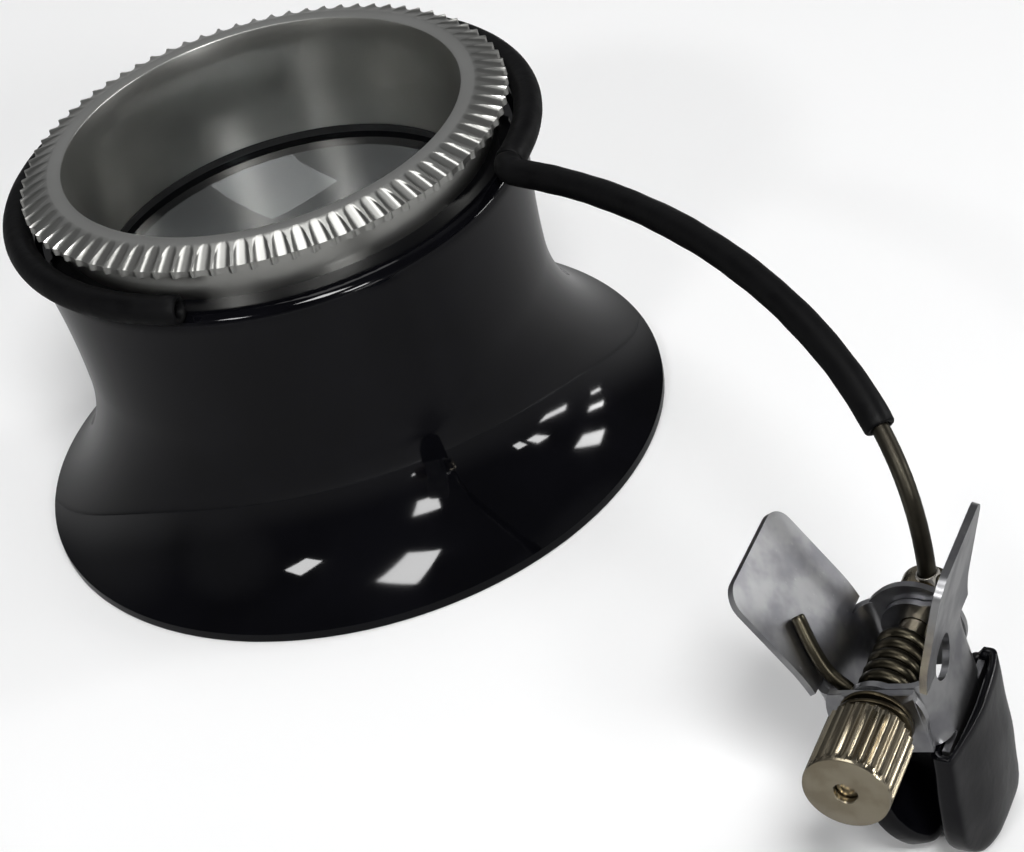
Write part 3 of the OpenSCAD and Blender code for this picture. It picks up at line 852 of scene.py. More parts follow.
@dataclass
class Eyepiece:
    """Cup and ring, both round the Z axis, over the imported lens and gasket.

    The fields are sizes in millimetres: a name that ends in r is a radius, and one that ends in z a height.

    Attributes:
        shop: adds the pieces.
        play: running fit of the ring's skirt in the cup.
        edge: rounding of the rim's edge.
        bevel_angle: slope that gives the flutes' floor, in degrees.
        flute_start: radius at which the flutes start on the top face.
    """

    shop: Workshop
    rim_r: float = 19.65
    edge_h: float = 0.6
    mouth_r: float = 17.3
    mouth_depth: float = 1.3
    neck_r: float = 14.4
    neck_z: float = 10.5
    wall: float = 1.6
    lip_r: float = 15.1
    height: float = 19.7
    lip_round: float = 0.8
    thread_r: float = 13.1
    lens_top: float = 14.95
    pocket_r: float = 12.55
    seat_z: float = 13.3
    seat_hole_r: float = 11.4
    bore_r: float = 12.0
    play: float = 0.05
    chamfer: float = 0.05
    edge: float = 0.12
    bevel_angle: float = 30.0
    band_r: float = 13.24
    band_h: float = 2.3
    knurl_r: float = 14.65
    bevel_z: float = 22.5
    ring_top: float = 23.05
    flute_start: float = 12.85
    flute_depth: float = 0.19
    flute_half: float = 0.51
    flutes: int = 80

    def cup(self) -> None:
        """The cup with its flare and neck as true arcs."""
        rise, lip_z, edge = self.neck_z - self.edge_h, self.height - self.lip_round, self.edge
        flare = sagitta_radius(rise, self.rim_r - self.neck_r)
        centre = (self.neck_r + flare, self.neck_z)
        foot = 180.0 + math.degrees(math.asin(rise / flare))
        rise = lip_z - self.neck_z
        neck = sagitta_radius(rise, self.lip_r - self.neck_r)
        top = 180.0 - math.degrees(math.asin(rise / neck))
        inner = flare + self.wall
        inner_foot = 180.0 + math.degrees(math.asin((self.neck_z - (self.mouth_depth + 0.3)) / inner))
        cone = self.neck_r - self.wall - self.seat_hole_r
        profile = [(self.mouth_r + edge, 0.0), (self.rim_r - edge, 0.0)]
        profile += arc((self.rim_r - edge, edge), edge, -60.0, 0.0, 3) + [(self.rim_r, self.edge_h - 0.03)]
        profile += arc(centre, flare, foot, 180.0, 60)
        profile += arc((self.neck_r + neck, self.neck_z), neck, 180.0, top, 24)[1:]
        profile += arc((self.lip_r - self.lip_round, lip_z), self.lip_round, 0.0, 90.0, 12)[1:]
        profile += [(self.thread_r + self.chamfer, self.height), (self.thread_r, self.height - self.chamfer),
                    (self.thread_r, self.lens_top), (self.pocket_r, self.lens_top), (self.pocket_r, self.seat_z),
                    (self.seat_hole_r, self.seat_z), (self.seat_hole_r, self.neck_z + cone)]
        profile += arc(centre, inner, 180.0, inner_foot, 36)
        profile += [(self.mouth_r, self.mouth_depth), (self.mouth_r, edge)]
        rows = [[(r * c, r * s, z) for r, z in profile] for c, s in circle(Sides.CUP)]
        mesh = grid_mesh("Cup_shell", rows, closed=True)
        self.shop.add("Cup_shell", mesh, Body.EYEPIECE, Slot.CUP, "eye_cup")

    def ring(self) -> None:
        """The lens ring with hollow flutes that start in a point on the top face."""
        bore, top, knurl_r = self.bore_r, self.ring_top, self.knurl_r
        start, depth = self.flute_start, self.flute_depth
        floor_z = self.bevel_z - depth / math.cos(math.radians(self.bevel_angle))
        bevel_slope = (top - self.bevel_z) / (knurl_r - start)
        floor_slope = (top - floor_z) / (knurl_r - start)
        floor_r = knurl_r - depth
        skirt = self.thread_r - self.play
        foot = self.lens_top + 0.45
        knurl_z = self.height + self.band_h
        outline = [(bore, foot), (bore, 18.0), (bore, 21.0), (bore, top - 0.1), (bore + 0.03, top - 0.03)]
        outline += [(bore + 0.1, top), (start - 0.04, top)]
        for k in range(9):
            r = start + (floor_r - 0.06 - start) * (k + 0.15) / 8.15
            outline.append((r, top - (r - start) * bevel_slope, 0.0, -(r - start) * (floor_slope - bevel_slope)))
        corner_z = top - (floor_r - start) * floor_slope
        outline.append((knurl_r, self.bevel_z, -depth, corner_z - self.bevel_z))
        outline += [(knurl_r, z, -depth, 0.0) for z in (corner_z - 0.06, corner_z - 0.16, knurl_z + 0.04)]
        outline.append((knurl_r - 0.04, knurl_z, -depth + 0.04, 0.0))
        outline += [(self.band_r + self.chamfer, knurl_z), (self.band_r, knurl_z - self.chamfer), (self.band_r, 20.9)]
        outline += [(self.band_r, self.height), (skirt, self.height), (skirt, 17.6), (skirt, foot)]
        turning = FlutedTurning(outline, self.flutes, self.flute_half, depth, inner_steps=14, flatness=4, opening=0.3)
        mesh = turning.mesh("Lens_ring", self.shop.materials[Slot.RING], 28.0)
        self.shop.add("Lens_ring", mesh, Body.RING, Slot.RING, "lens_ring")


@dataclass
class ClipFrame:
    """The clip's own frame: x across the jaws, -y towards the nut, z up the wings.

    Attributes:
        centre: middle of the pin in the part's frame, in millimetres.
        turn: turn round the upright, in degrees.
        lean: lean round the pin, in degrees.
    """

    centre: tuple[float, float, float] = (27.5, -44.25, 10.6)
    turn: float = -27.5
    lean: float = -9.3

    def matrix(self) -> Matrix:
        """Place of the clip's frame in the part's frame, in millimetres.

        Returns:
            A 4 x 4 matrix.
        """
        turn = Matrix.Rotation(math.radians(self.turn), 4, "Z")
        return Matrix.Translation(Vector(self.centre)) @ turn @ Matrix.Rotation(math.radians(self.lean), 4, "Y")

    def point(self, x: float, y: float, z: float) -> Vector:
        """A point of the clip's frame in the part's frame.

        Args:
            x: distance across the jaws.
            y: distance along the pin.
            z: distance up the wings.

        Returns:
            The point in millimetres.
        """
        return self.matrix() @ Vector((x, y, z))


@dataclass
class Hanger:
    """The formed wire with its two sleeves.

    Attributes:
        shop: adds the pieces.
        clip: the clip's frame.
        leave: direction in which the arm leaves the bend, in degrees.
        reach: how far the arm's curve keeps that direction.
        share: share of the arm that its sleeve covers.
        over: point of the clip's frame that pulls the arm's curve.
        entry: point of the clip's frame where the arm ends.
    """

    shop: Workshop
    clip: ClipFrame
    wire_r: float = 0.45
    bore_r: float = 0.48
    loop_r: float = 15.45
    loop_z: float = 20.55
    loop_sleeve_r: float = 0.85
    arm_sleeve_r: float = 0.8
    loop_end: float = 250.0
    bend_angle: float = -26.0
    bend_r: float = 1.3
    leave: float = -38.0
    reach: float = 9.6
    share: float = 0.79
    over: tuple[float, float, float] = (3.0, 6.0, 16.0)
    entry: tuple[float, float, float] = (0.6, 4.7, 1.75)

    def loop(self, inset: float, steps: int) -> list[Vector]:
        """Points of the loop from its open end to the bend.

        Args:
            inset: distance that the first point lies inside the open end.
            steps: number of steps.

        Returns:
            The points in millimetres.
        """
        start = self.loop_end - math.degrees(inset / self.loop_r)
        return [Vector((x, y, self.loop_z)) for x, y in arc((0.0, 0.0), self.loop_r, start, self.bend_angle, steps)]

    def bend(self, steps: int) -> list[Vector]:
        """Points of the bend from the loop into the arm.

        Args:
            steps: number of steps.

        Returns:
            The points in millimetres.
        """
        travel = self.bend_angle - 90.0
        t = math.radians(travel)
        centre = self.loop(0.0, 1)[-1] + Vector((-math.sin(t), math.cos(t), 0.0)) * self.bend_r
        turns = [math.radians(b) for b in spread(travel, self.leave, steps)]
        return [centre + Vector((math.sin(b), -math.cos(b), 0.0)) * self.bend_r for b in turns]

    def arm(self, last: float, steps: int) -> list[Vector]:
        """Points of the arm's curve after its start.

        Args:
            last: share of the curve at which they end.
            steps: number of steps.

        Returns:
            The points in millimetres.
        """
        begin = self.bend(6)[-1]
        a = math.radians(self.leave)
        aim = begin + Vector((math.cos(a), math.sin(a), 0.0)) * self.reach
        over, end = self.clip.point(*self.over), self.clip.point(*self.entry)
        points = []
        for t in spread(0.0, last, steps)[1:]:
            s = 1.0 - t
            points.append(begin * s**3 + aim * (3 * t * s * s) + over * (3 * t * t * s) + end * t**3)
        return points

    def build(self) -> None:
        """Wire, loop sleeve and arm sleeve."""
        foot = self.clip.point(self.entry[0], self.entry[1], -0.4)
        path = self.loop(1.0, 110) + self.bend(12)[1:] + self.arm(1.0, 60) + [foot]
        wire = swept_wire("Wire", path, self.wire_r, Sides.WIRE, self.shop.materials[Slot.WIRE])
        self.shop.add("Wire", wire, Body.HANGER, Slot.WIRE, "spring_wire")

        def shrunk(t: float) -> float:
            return 1.0 + 0.012 * math.sin(41.0 * t) + 0.01 * math.sin(97.0 * t + 1.0) - 0.012

        loop = hollow_tube("Loop_sleeve", self.loop(0.0, 130), self.loop_sleeve_r, self.bore_r)
        self.shop.add("Loop_sleeve", loop, Body.HANGER, Slot.SLEEVE, "loop_sleeve")
        path = self.bend(12)[2:] + self.arm(self.share, 80)
        arm = hollow_tube("Arm_sleeve", path, self.arm_sleeve_r, self.bore_r, shrunk)
        self.shop.add("Arm_sleeve", arm, Body.HANGER, Slot.SLEEVE, "arm_sleeve")


@dataclass
class JawBoot:
    """A soft dipped boot over one jaw, in the jaw's own frame.

    Attributes:
        side: 1 for the right jaw, -1 for the left one.
        length: length of the boot.
        swell: how far the outer side stands out at its fullest, from the middle of the sheet.
        inner: distance of the inner side from the middle of the sheet.
        width: width across the jaw.
        wall: thickness of the skin.
        pocket: depth of the hollow.
        front_round: rounding of the front corner at the tip, across the jaw and along it.
        rear_round: rounding of the rear corner at the tip, across and along.
        tip: height of the rounded tip.
        mouth_x: distance of the outer side from the middle of the sheet at the mouth.
        flare: how far the outer lip stands off at the mouth.
        lift: how much higher the mouth's outer rear corner is.
        thin_front: share by which the outer side draws in at the front edge.
        square: power that makes the section's corners fuller than an oval's.
        belly_at: share of the length at which the swell is full.
        mouth_fade: depth over which the flare fades.
        lift_fade: depth over which the lift fades.
    """

    side: float
    length: float
    swell: float
    inner: float = 0.84
    width: float = 7.2
    wall: float = 0.4
    pocket: float = 7.55
    front_round: tuple[float, float] = (4.2, 4.4)
    rear_round: tuple[float, float] = (1.9, 1.9)
    tip: float = 1.2
    mouth_x: float = 0.86
    flare: float = 0.06
    lift: float = 0.7
    thin_front: float = 0.5
    square: float = 0.42
    belly_at: float = 0.7
    mouth_fade: float = 1.3
    lift_fade: float = 1.6

    def section(self, depth: float, inset: float) -> list[tuple[float, float, float]]:
        """One closed section across the boot.

        Args:
            depth: distance from the mouth.
            inset: how far the section lies inside the outer skin.

        Returns:
            Points from the middle of the sheet: x outwards, y to the rear, z up.
        """
        def fall(across: float, along: float) -> float:
            into = max(0.0, depth - (end - along)) / (1.06 * along)
            return across * (1.0 - math.sqrt(1.0 - into * into))

        end = self.length - inset
        belly = math.sin(0.5 * math.pi * min(depth / (self.belly_at * self.length), 1.0))
        mouth = self.flare * math.exp(-((depth / self.mouth_fade) ** 2))
        outer = self.mouth_x + (self.swell - self.mouth_x) * belly + mouth - inset
        inner = self.inner - inset
        thin = max(0.0, 1.0 - (max(0.0, depth - (end - self.tip)) / self.tip) ** 2.2)
        middle = (outer - inner) / 2.0
        half = max((outer + inner) / 2.0 * math.sqrt(thin), 0.02)
        rear = self.width / 2.0 - inset - fall(*self.rear_round)
        front = self.width / 2.0 - inset - fall(*self.front_round)
        points = []
        for c, s in circle(Sides.BOOT):
            x = middle + half * math.copysign(abs(c) ** self.square, c)
            y = (rear - front) / 2.0 + (rear + front) / 2.0 * math.copysign(abs(s) ** self.square, s)
            if x > 0.0:
                t = min(max((y + self.width / 2.0) / (0.55 * self.width), 0.0), 1.0)
                x *= 1.0 - self.thin_front * (1.0 - t * t * (3.0 - 2.0 * t))
            points.append((x, y, -depth))
        return points

    def mesh(self, name: str, clip: ClipFrame, jaw: Matrix) -> Mesh:
        """The boot in its place, from the tip of its outer skin over the lip to the bottom of its hollow.

        Args:
            name: name of the mesh.
            clip: the clip's frame.
            jaw: place of the jaw's frame in the clip's frame, for a jaw on the +x side.

        Returns:
            The mesh in metres.
        """
        depths = [self.length - d for d in (0.001, 0.03, 0.1, 0.22, 0.4, 0.65, 0.95, 1.3, 1.8)]
        depths += [depths[-1] * (1.0 - k / 14.0) for k in range(1, 14)] + [0.06]
        rings = [(d, 0.0) for d in depths] + [(0.0, 0.1), (0.0, self.wall - 0.1)]
        rings += [(0.06 + (self.pocket - 0.06) * k / 9.0, self.wall) for k in range(10)]
        rows = []
        for depth, inset in rings:
            row = []
            for x, y, z in self.section(depth, inset):
                ripple = 0.02 * math.sin(1.9 * z + 0.8 * y) * min(1.0, -z)
                rise = self.lift * max(0.0, 0.5 + y / self.width) ** 1.5 * math.exp(z / self.lift_fade)
                p = jaw @ Vector((x + ripple, y, z + rise * (1.0 if x > 0.0 else 0.4)))
                row.append(clip.point(self.side * p.x, p.y, p.z))
            rows.append(row)
        return grid_mesh(name, rows, closed=False, angle=50.0)


@dataclass
class Clip:
    """The sprung clip over its packed washers: boots, leaves, pin, collar, torsion spring and thumb nut.

    The fields are places and sizes in the clip's frame, in millimetres, and angles in degrees.

    Attributes:
        shop: adds the pieces.
        frame: the clip's frame.
        corner_high: upper end of the cut at the jaw's front corner, in the jaw's frame.
        corner_low: lower end of that cut.
        lobe_side: the front lobe lies this far from the middle at most.
        lobe_rear: the front lobe lies in front of this place along the pin.
        groove_share: share of the nut's round that its grooves take up.
        nut_recess: depth of the recess in the nut's face.
    """

    shop: Workshop
    frame: ClipFrame
    corner_high: tuple[float, float, float] = (0.0, -3.15, -4.2)
    corner_low: tuple[float, float, float] = (0.0, -0.75, -7.3)
    lobe_side: float = 1.9
    lobe_rear: float = -2.9
    groove_share: float = 0.92
    nut_recess: float = 0.28
    leaf_x: float = 2.4
    sheet: float = 0.35
    jaw_z: float = 2.4
    jaw_angle: float = 11.72
    boot_start: float = 0.15
    wing_z: float = 1.55
    wing_angle: float = 24.0
    wing_extra: float = 0.35
    fold_half: float = 1.6
    front_ear_top: float = 1.45
    front_ear_end: float = 2.2
    ear_low: float = 2.15
    ear_y: float = 3.45
    coil_r: float = 1.13
    coil_wire_r: float = 0.34
    coil_turns: float = 5.5
    coil_front: float = -2.3
    coil_pitch: float = 0.72
    leg_clear: float = 0.38
    leg_len: float = 3.1
    nut_r: float = 2.07
    nut_len: float = 3.85
    nut_y: float = 4.53
    nut_hole: float = 0.8
    nut_lip_r: float = 0.56
    nut_grooves: int = 26
    nut_groove: float = 0.19
    pin_r: float = 0.75
    pin_head_r: float = 1.5
    pin_head_y: float = 3.75
    pin_head_len: float = 2.1
    pin_end_y: float = 8.03
    ferrule_r: float = 0.6
    ferrule_bore: float = 0.46
    ferrule_low: float = 1.15
    ferrule_top: float = 1.88
    wire_at: tuple[float, float] = (0.6, 4.7)

    def jaw(self) -> Matrix:
        """Frame of the jaw on the +x side, at its fold and on the outer face of the sheet.

        Returns:
            Its place in the clip's frame.
        """
        fold = Matrix.Translation(Vector((self.leaf_x + self.sheet, 0.0, -self.jaw_z)))
        return fold @ Matrix.Rotation(math.radians(self.jaw_angle), 4, "Y")

    def boots(self) -> None:
        """Both boots, each on its jaw."""
        jaw = self.jaw() @ Matrix.Translation(Vector((-self.sheet / 2.0, 0.0, -self.boot_start)))
        plan = (
            ("Right_boot", JawBoot(1.0, 8.3, 1.45), Body.RIGHT_JAW, "right_jaw_boot"),
            ("Left_boot", JawBoot(-1.0, 7.9, 1.1), Body.LEFT_JAW, "left_jaw_boot"),
        )
        for name, boot, body, node in plan:
            self.shop.add(name, boot.mesh(name, self.frame, jaw), body, Slot.BOOT, node)

    def rounded_fold(self, point: Vector) -> Vector:
        """Moves a point of a leaf so that the fold between body and wing is a soft curve and the wing is longer.

        Args:
            point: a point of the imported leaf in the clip's frame, on the +x side.

        Returns:
            The moved point.
        """
        a = math.radians(self.wing_angle)
        inner = self.leaf_x + max(0.0, point.z - self.wing_z) * math.tan(a)
        outside = point.x > inner + 0.5 * self.sheet
        crease = self.wing_z - (self.sheet * math.tan(a / 2.0) if outside else 0.0)
        d, w = point.z - crease, self.fold_half
        moved = point.copy()
        if abs(d) < w and point.x > 1.0:
            t = min((point.x - 1.0) / 1.2, 1.0)
            moved.x += math.tan(a) * ((d + w) ** 2 / (4.0 * w) - max(d, 0.0)) * t * t * (3.0 - 2.0 * t)
        if point.z > self.wing_z + 4.3:
            moved += Vector((math.sin(a), 0.0, math.cos(a))) * self.wing_extra
        return moved

    def leaf(self, solid: Object, side: float) -> Mesh:
        """A leaf with a softly curved wing, a front ear with a level edge and a jaw without its front corner.

        Args:
            solid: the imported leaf, whose mesh is copied.
            side: 1 for the right leaf, -1 for the left one.

        Returns:
            The mesh in metres.
        """
        def in_lobe(p: Vector) -> bool:
            return p.z > self.front_ear_top - 0.0005 and p.y < self.lobe_rear and p.x < self.lobe_side

        def cut(at: Vector, normal: Vector, **options) -> None:
            parts = shell.verts[:] + shell.edges[:] + shell.faces[:]
            bmesh.ops.bisect_plane(shell, geom=parts, dist=CUT_REACH, plane_co=at, plane_no=normal, **options)

        place = Matrix.Scale(MM, 4) @ self.frame.matrix() @ Matrix.Scale(side, 4, Vector((1.0, 0.0, 0.0)))
        shell = bmesh.new()
        shell.from_mesh(solid.data)
        shell.transform(place.inverted())
        bmesh.ops.remove_doubles(shell, verts=shell.verts, dist=SOLID_WELD)
        fold = [self.wing_z + self.fold_half * k for k in spread(-1.0, 1.0, 12)]
        for height in fold + [self.front_ear_top]:
            cut(Vector((0.0, 0.0, height)), Vector((0.0, 0.0, 1.0)))
        lobe = [face for face in shell.faces if all(in_lobe(v.co) for v in face.verts)]
        bmesh.ops.delete(shell, geom=lobe, context="FACES")
        jaw, high, low = self.jaw(), Vector(self.corner_high), Vector(self.corner_low)
        way = (low - high).normalized()
        cut(jaw @ high, jaw.to_3x3() @ Vector((0.0, way.z, -way.y)), clear_outer=True)
        bmesh.ops.holes_fill(shell, edges=[e for e in shell.edges if e.is_boundary], sides=0)
        bmesh.ops.remove_doubles(shell, verts=shell.verts, dist=SLIVER_WELD)
        bmesh.ops.dissolve_degenerate(shell, edges=shell.edges, dist=SLIVER_EDGE)
        for vertex in shell.verts:
            vertex.co = self.rounded_fold(vertex.co)
        shell.transform(place)
        mesh = bpy.data.meshes.new(solid.name + "_formed")
        shell.to_mesh(mesh)
        shell.free()
        tidy_mesh(mesh, 30.0)
        return mesh

    def front_ear(self) -> Mesh:
        """The left leaf's front ear: a plate with a level top that reaches across to the right leaf.

        Returns:
            The mesh in metres.
        """
        def edge(inset: float, y: float) -> list[Vector]:
            right, left = self.front_ear_end - inset, 1.6 - inset
            top, low = self.front_ear_top + 0.02 - inset, self.ear_low - inset
            points = []
            for c, s in circle(Sides.EAR):
                across, up = (right if c > 0.0 else left), (top if s > 0.0 else low)
                reach = min(across / max(abs(c), 1e-6), up / max(abs(s), 1e-6))
                points.append(self.frame.point(reach * c, y, reach * s))
            return points

        def hole(y: float) -> list[Vector]:
            return [self.frame.point(self.nut_hole * c, y, self.nut_hole * s) for c, s in circle(Sides.EAR)]

        front, back = -self.ear_y - 0.02, -self.ear_y + self.sheet + 0.02
        rows = [hole(front), edge(0.06, front), edge(0.0, front + 0.06), edge(0.0, back - 0.06), edge(0.06, back)]
        return grid_mesh("Left_front_ear", rows + [hole(back)], closed=True)

    def leaves(self, solids: dict[str, Object]) -> None:
        """Both leaves and the left one's front ear.

        Args:
            solids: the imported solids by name.
        """
        plan = (("Right_leaf", "right_leaf", 1.0, Body.RIGHT_JAW), ("Left_leaf", "left_leaf", -1.0, Body.LEFT_JAW))
        for name, node, side, body in plan:
            self.shop.add(name, self.leaf(solids[node], side), body, Slot.LEAF, node, edge=LEAF_EDGE)
        self.shop.add("Left_front_ear", self.front_ear(), Body.LEFT_JAW, Slot.LEAF)

    def pin(self) -> None:
        """The pin with its head, and the collar where the wire enters the head."""
        y, end, r, big = self.pin_head_y, self.pin_end_y, self.pin_r, self.pin_head_r
        rear = y + self.pin_head_len
        stations = [(rear, big - 0.2), (rear - 0.03, big - 0.08), (rear - 0.12, big), (y + 0.12, big)]
        stations += [(y + 0.03, big - 0.05), (y, big - 0.14), (y, r + 0.03), (y - 0.03, r), (0.0, r), (0.15 - end, r)]
        stations += [(0.04 - end, r - 0.06), (-end, r - 0.2), (-end, r - 0.42), (0.1 - end, r - 0.46)]
        rows = [[self.frame.point(size * c, at, size * s) for c, s in circle(Sides.PIN)] for at, size in stations]
        mesh = grid_mesh("Pin", rows, closed=False)
        self.shop.add("Pin", mesh, Body.HANGER, Slot.PLATED, "clip_pin")
        x, y = self.wire_at
        r, bore, low, top = self.ferrule_r, self.ferrule_bore, self.ferrule_low, self.ferrule_top
        stations = [(low, r), (top - 0.1, r), (top - 0.02, r - 0.03), (top, r - 0.08), (top, bore + 0.03)]
        stations += [(top - 0.04, bore), (low, bore)]
        around = circle(Sides.COLLAR)
        rows = [[self.frame.point(x + size * c, y + size * s, z) for c, s in around] for z, size in stations]
        mesh = grid_mesh("Ferrule", rows, closed=True)
        # The collar takes a lighter copy of the plate's finish, which is painted light.
        self.shop.add("Ferrule", mesh, Body.HANGER, Slot.PLATED, "wire_ferrule", material=COLLAR.build())

    def leg(self, side: float, along: float, y: float) -> Vector:
        """A point of a leg of the spring where it lies on a wing.

        Args:
            side: 1 for the right wing, -1 for the left one.
            along: distance up the wing.
            y: distance along the pin.

        Returns:
            The point in the clip's frame.
        """
        a = math.radians(self.wing_angle)
        low = self.leaf_x - self.leg_clear / math.cos(a)
        return Vector((side * (low + along * math.sin(a)), y, self.wing_z + along * math.cos(a)))

    def spring(self) -> None:
        """The torsion spring with close turns; its two ends lie along the two wings."""
        leg, front, r = self.leg, self.coil_front, self.coil_r
        turns = []
        for t in spread(0.0, self.coil_turns, int(self.coil_turns * 30)):
            a = math.pi + TAU * t
            turns.append(Vector((r * math.cos(a), front + self.coil_pitch * t, r * math.sin(a))))
        rear = turns[-1].y
        front_leg = [leg(-1.0, self.leg_len, front + 0.95), leg(-1.0, 1.6, front + 0.2), leg(-1.0, 0.35, front - 0.1)]
        front_leg += [Vector((-1.5, front - 0.06, 0.85)), turns[0]]
        rear_leg = [turns[-1], Vector((1.5, rear + 0.04, 0.85)), leg(1.0, 0.35, rear), leg(1.0, 1.7, rear - 0.3)]
        rear_leg.append(leg(1.0, self.leg_len, rear - 0.6))
        path = smooth_path(front_leg, 8)[:-1] + turns + smooth_path(rear_leg, 8)[1:]
        finish = self.shop.materials[Slot.SPRING]
        path = [self.frame.point(*p) for p in path]
        mesh = swept_wire("Torsion_spring", path, self.coil_wire_r, Sides.SPRING, finish)
        obj = add_object("Torsion_spring", mesh, finish)
        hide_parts("torsion_spring")
        tuple(self.frame.point(0.0, -1.1, 0.0) * MM)
        tuple(self.frame.point(0.0, 1.1, 0.0) * MM)
        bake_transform(obj)
        LOG.info("Torsion_spring joins both jaws")

    def nut(self) -> None:
        """The thumb nut: round grooves that run out short of its flat face."""
        r, top, hole, lip, cut = self.nut_r, self.nut_len, self.nut_hole, self.nut_lip_r, self.nut_groove
        outline = [(hole, 0.0), (r - cut - 0.1, 0.0), (r - 0.06, 0.0, -cut + 0.06, 0.0)]
        outline += [(r, z, -cut, 0.0) for z in (0.06, 1.2, 2.4, top - 0.75)]
        for k in range(1, 7):
            outline.append((r, top - 0.75 + 0.5 * k / 6.5, -cut * math.sqrt(1.0 - (k / 6.5) ** 2), 0.0))
        outline += [(r, top - 0.16), (r - 0.03, top - 0.05), (r - 0.12, top), (lip + 0.05, top), (lip, top - 0.05)]
        outline += [(lip, top - self.nut_recess), (hole, top - self.nut_recess), (hole, top / 2.0)]
        half = self.groove_share * math.pi * r / self.nut_grooves
        turning = FlutedTurning(outline, self.nut_grooves, half, cut, land_steps=1)
        mesh = turning.mesh("Thumb_nut", self.shop.materials[Slot.PLATED], 30.0)
        along_pin = Matrix.Translation(Vector((0.0, -self.nut_y, 0.0))) @ Matrix.Rotation(math.radians(90.0), 4, "X")
        mesh.transform(Matrix.Scale(MM, 4) @ self.frame.matrix() @ along_pin @ Matrix.Scale(1.0 / MM, 4))
        self.shop.add("Thumb_nut", mesh, Body.NUT, Slot.PLATED, "thumb_nut")

    def build(self, solids: dict[str, Object]) -> None:
        """Makes the clip's pieces.

        Args:
            solids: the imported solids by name.
        """
        self.boots()
        self.leaves(solids)
        self.pin()
        self.spring()
        self.nut()


# ---- studio


@dataclass(frozen=True)
class Panel:
    """A level lamp in the ceiling, given by where it stands over the part.

    Attributes:
        name: name of the lamp.
        place: where it hangs, in X and Y, for each unit of its height.
        size: its two sides for each unit of its height.
        turn: turn round the upright, in degrees.
        glow: how bright its face is; 1 is paper white.
        height: height over the floor in millimetres.
    """

    name: str
    place: tuple[float, float]
    size: tuple[float, float]
    turn: float
    glow: float
    height: float = 600.0

    def build(self) -> None:
        """Hangs the lamp."""
        data = bpy.data.lights.new(self.name, "AREA")
        data.shape = "RECTANGLE"
        data.size, data.size_y = (side * self.height * MM for side in self.size)
        data.energy = self.glow * math.pi * data.size * data.size_y
        place = Vector((self.place[0] * self.height, self.place[1] * self.height, self.height)) * MM
        turn = Matrix.Rotation(math.radians(self.turn), 4, "Z")
        add_object(self.name, data).matrix_world = Matrix.Translation(place) @ turn


@dataclass(frozen=True)
class Glow:
    """A soft bright patch of the studio's walls or ceiling.

    Attributes:
        azimuth: direction round the upright, in degrees.
        elevation: direction over the floor, in degrees.
        spread: half its width, in degrees.
        glow: how bright its middle is.
    """

    azimuth: float
    elevation: float
    spread: float
    glow: float


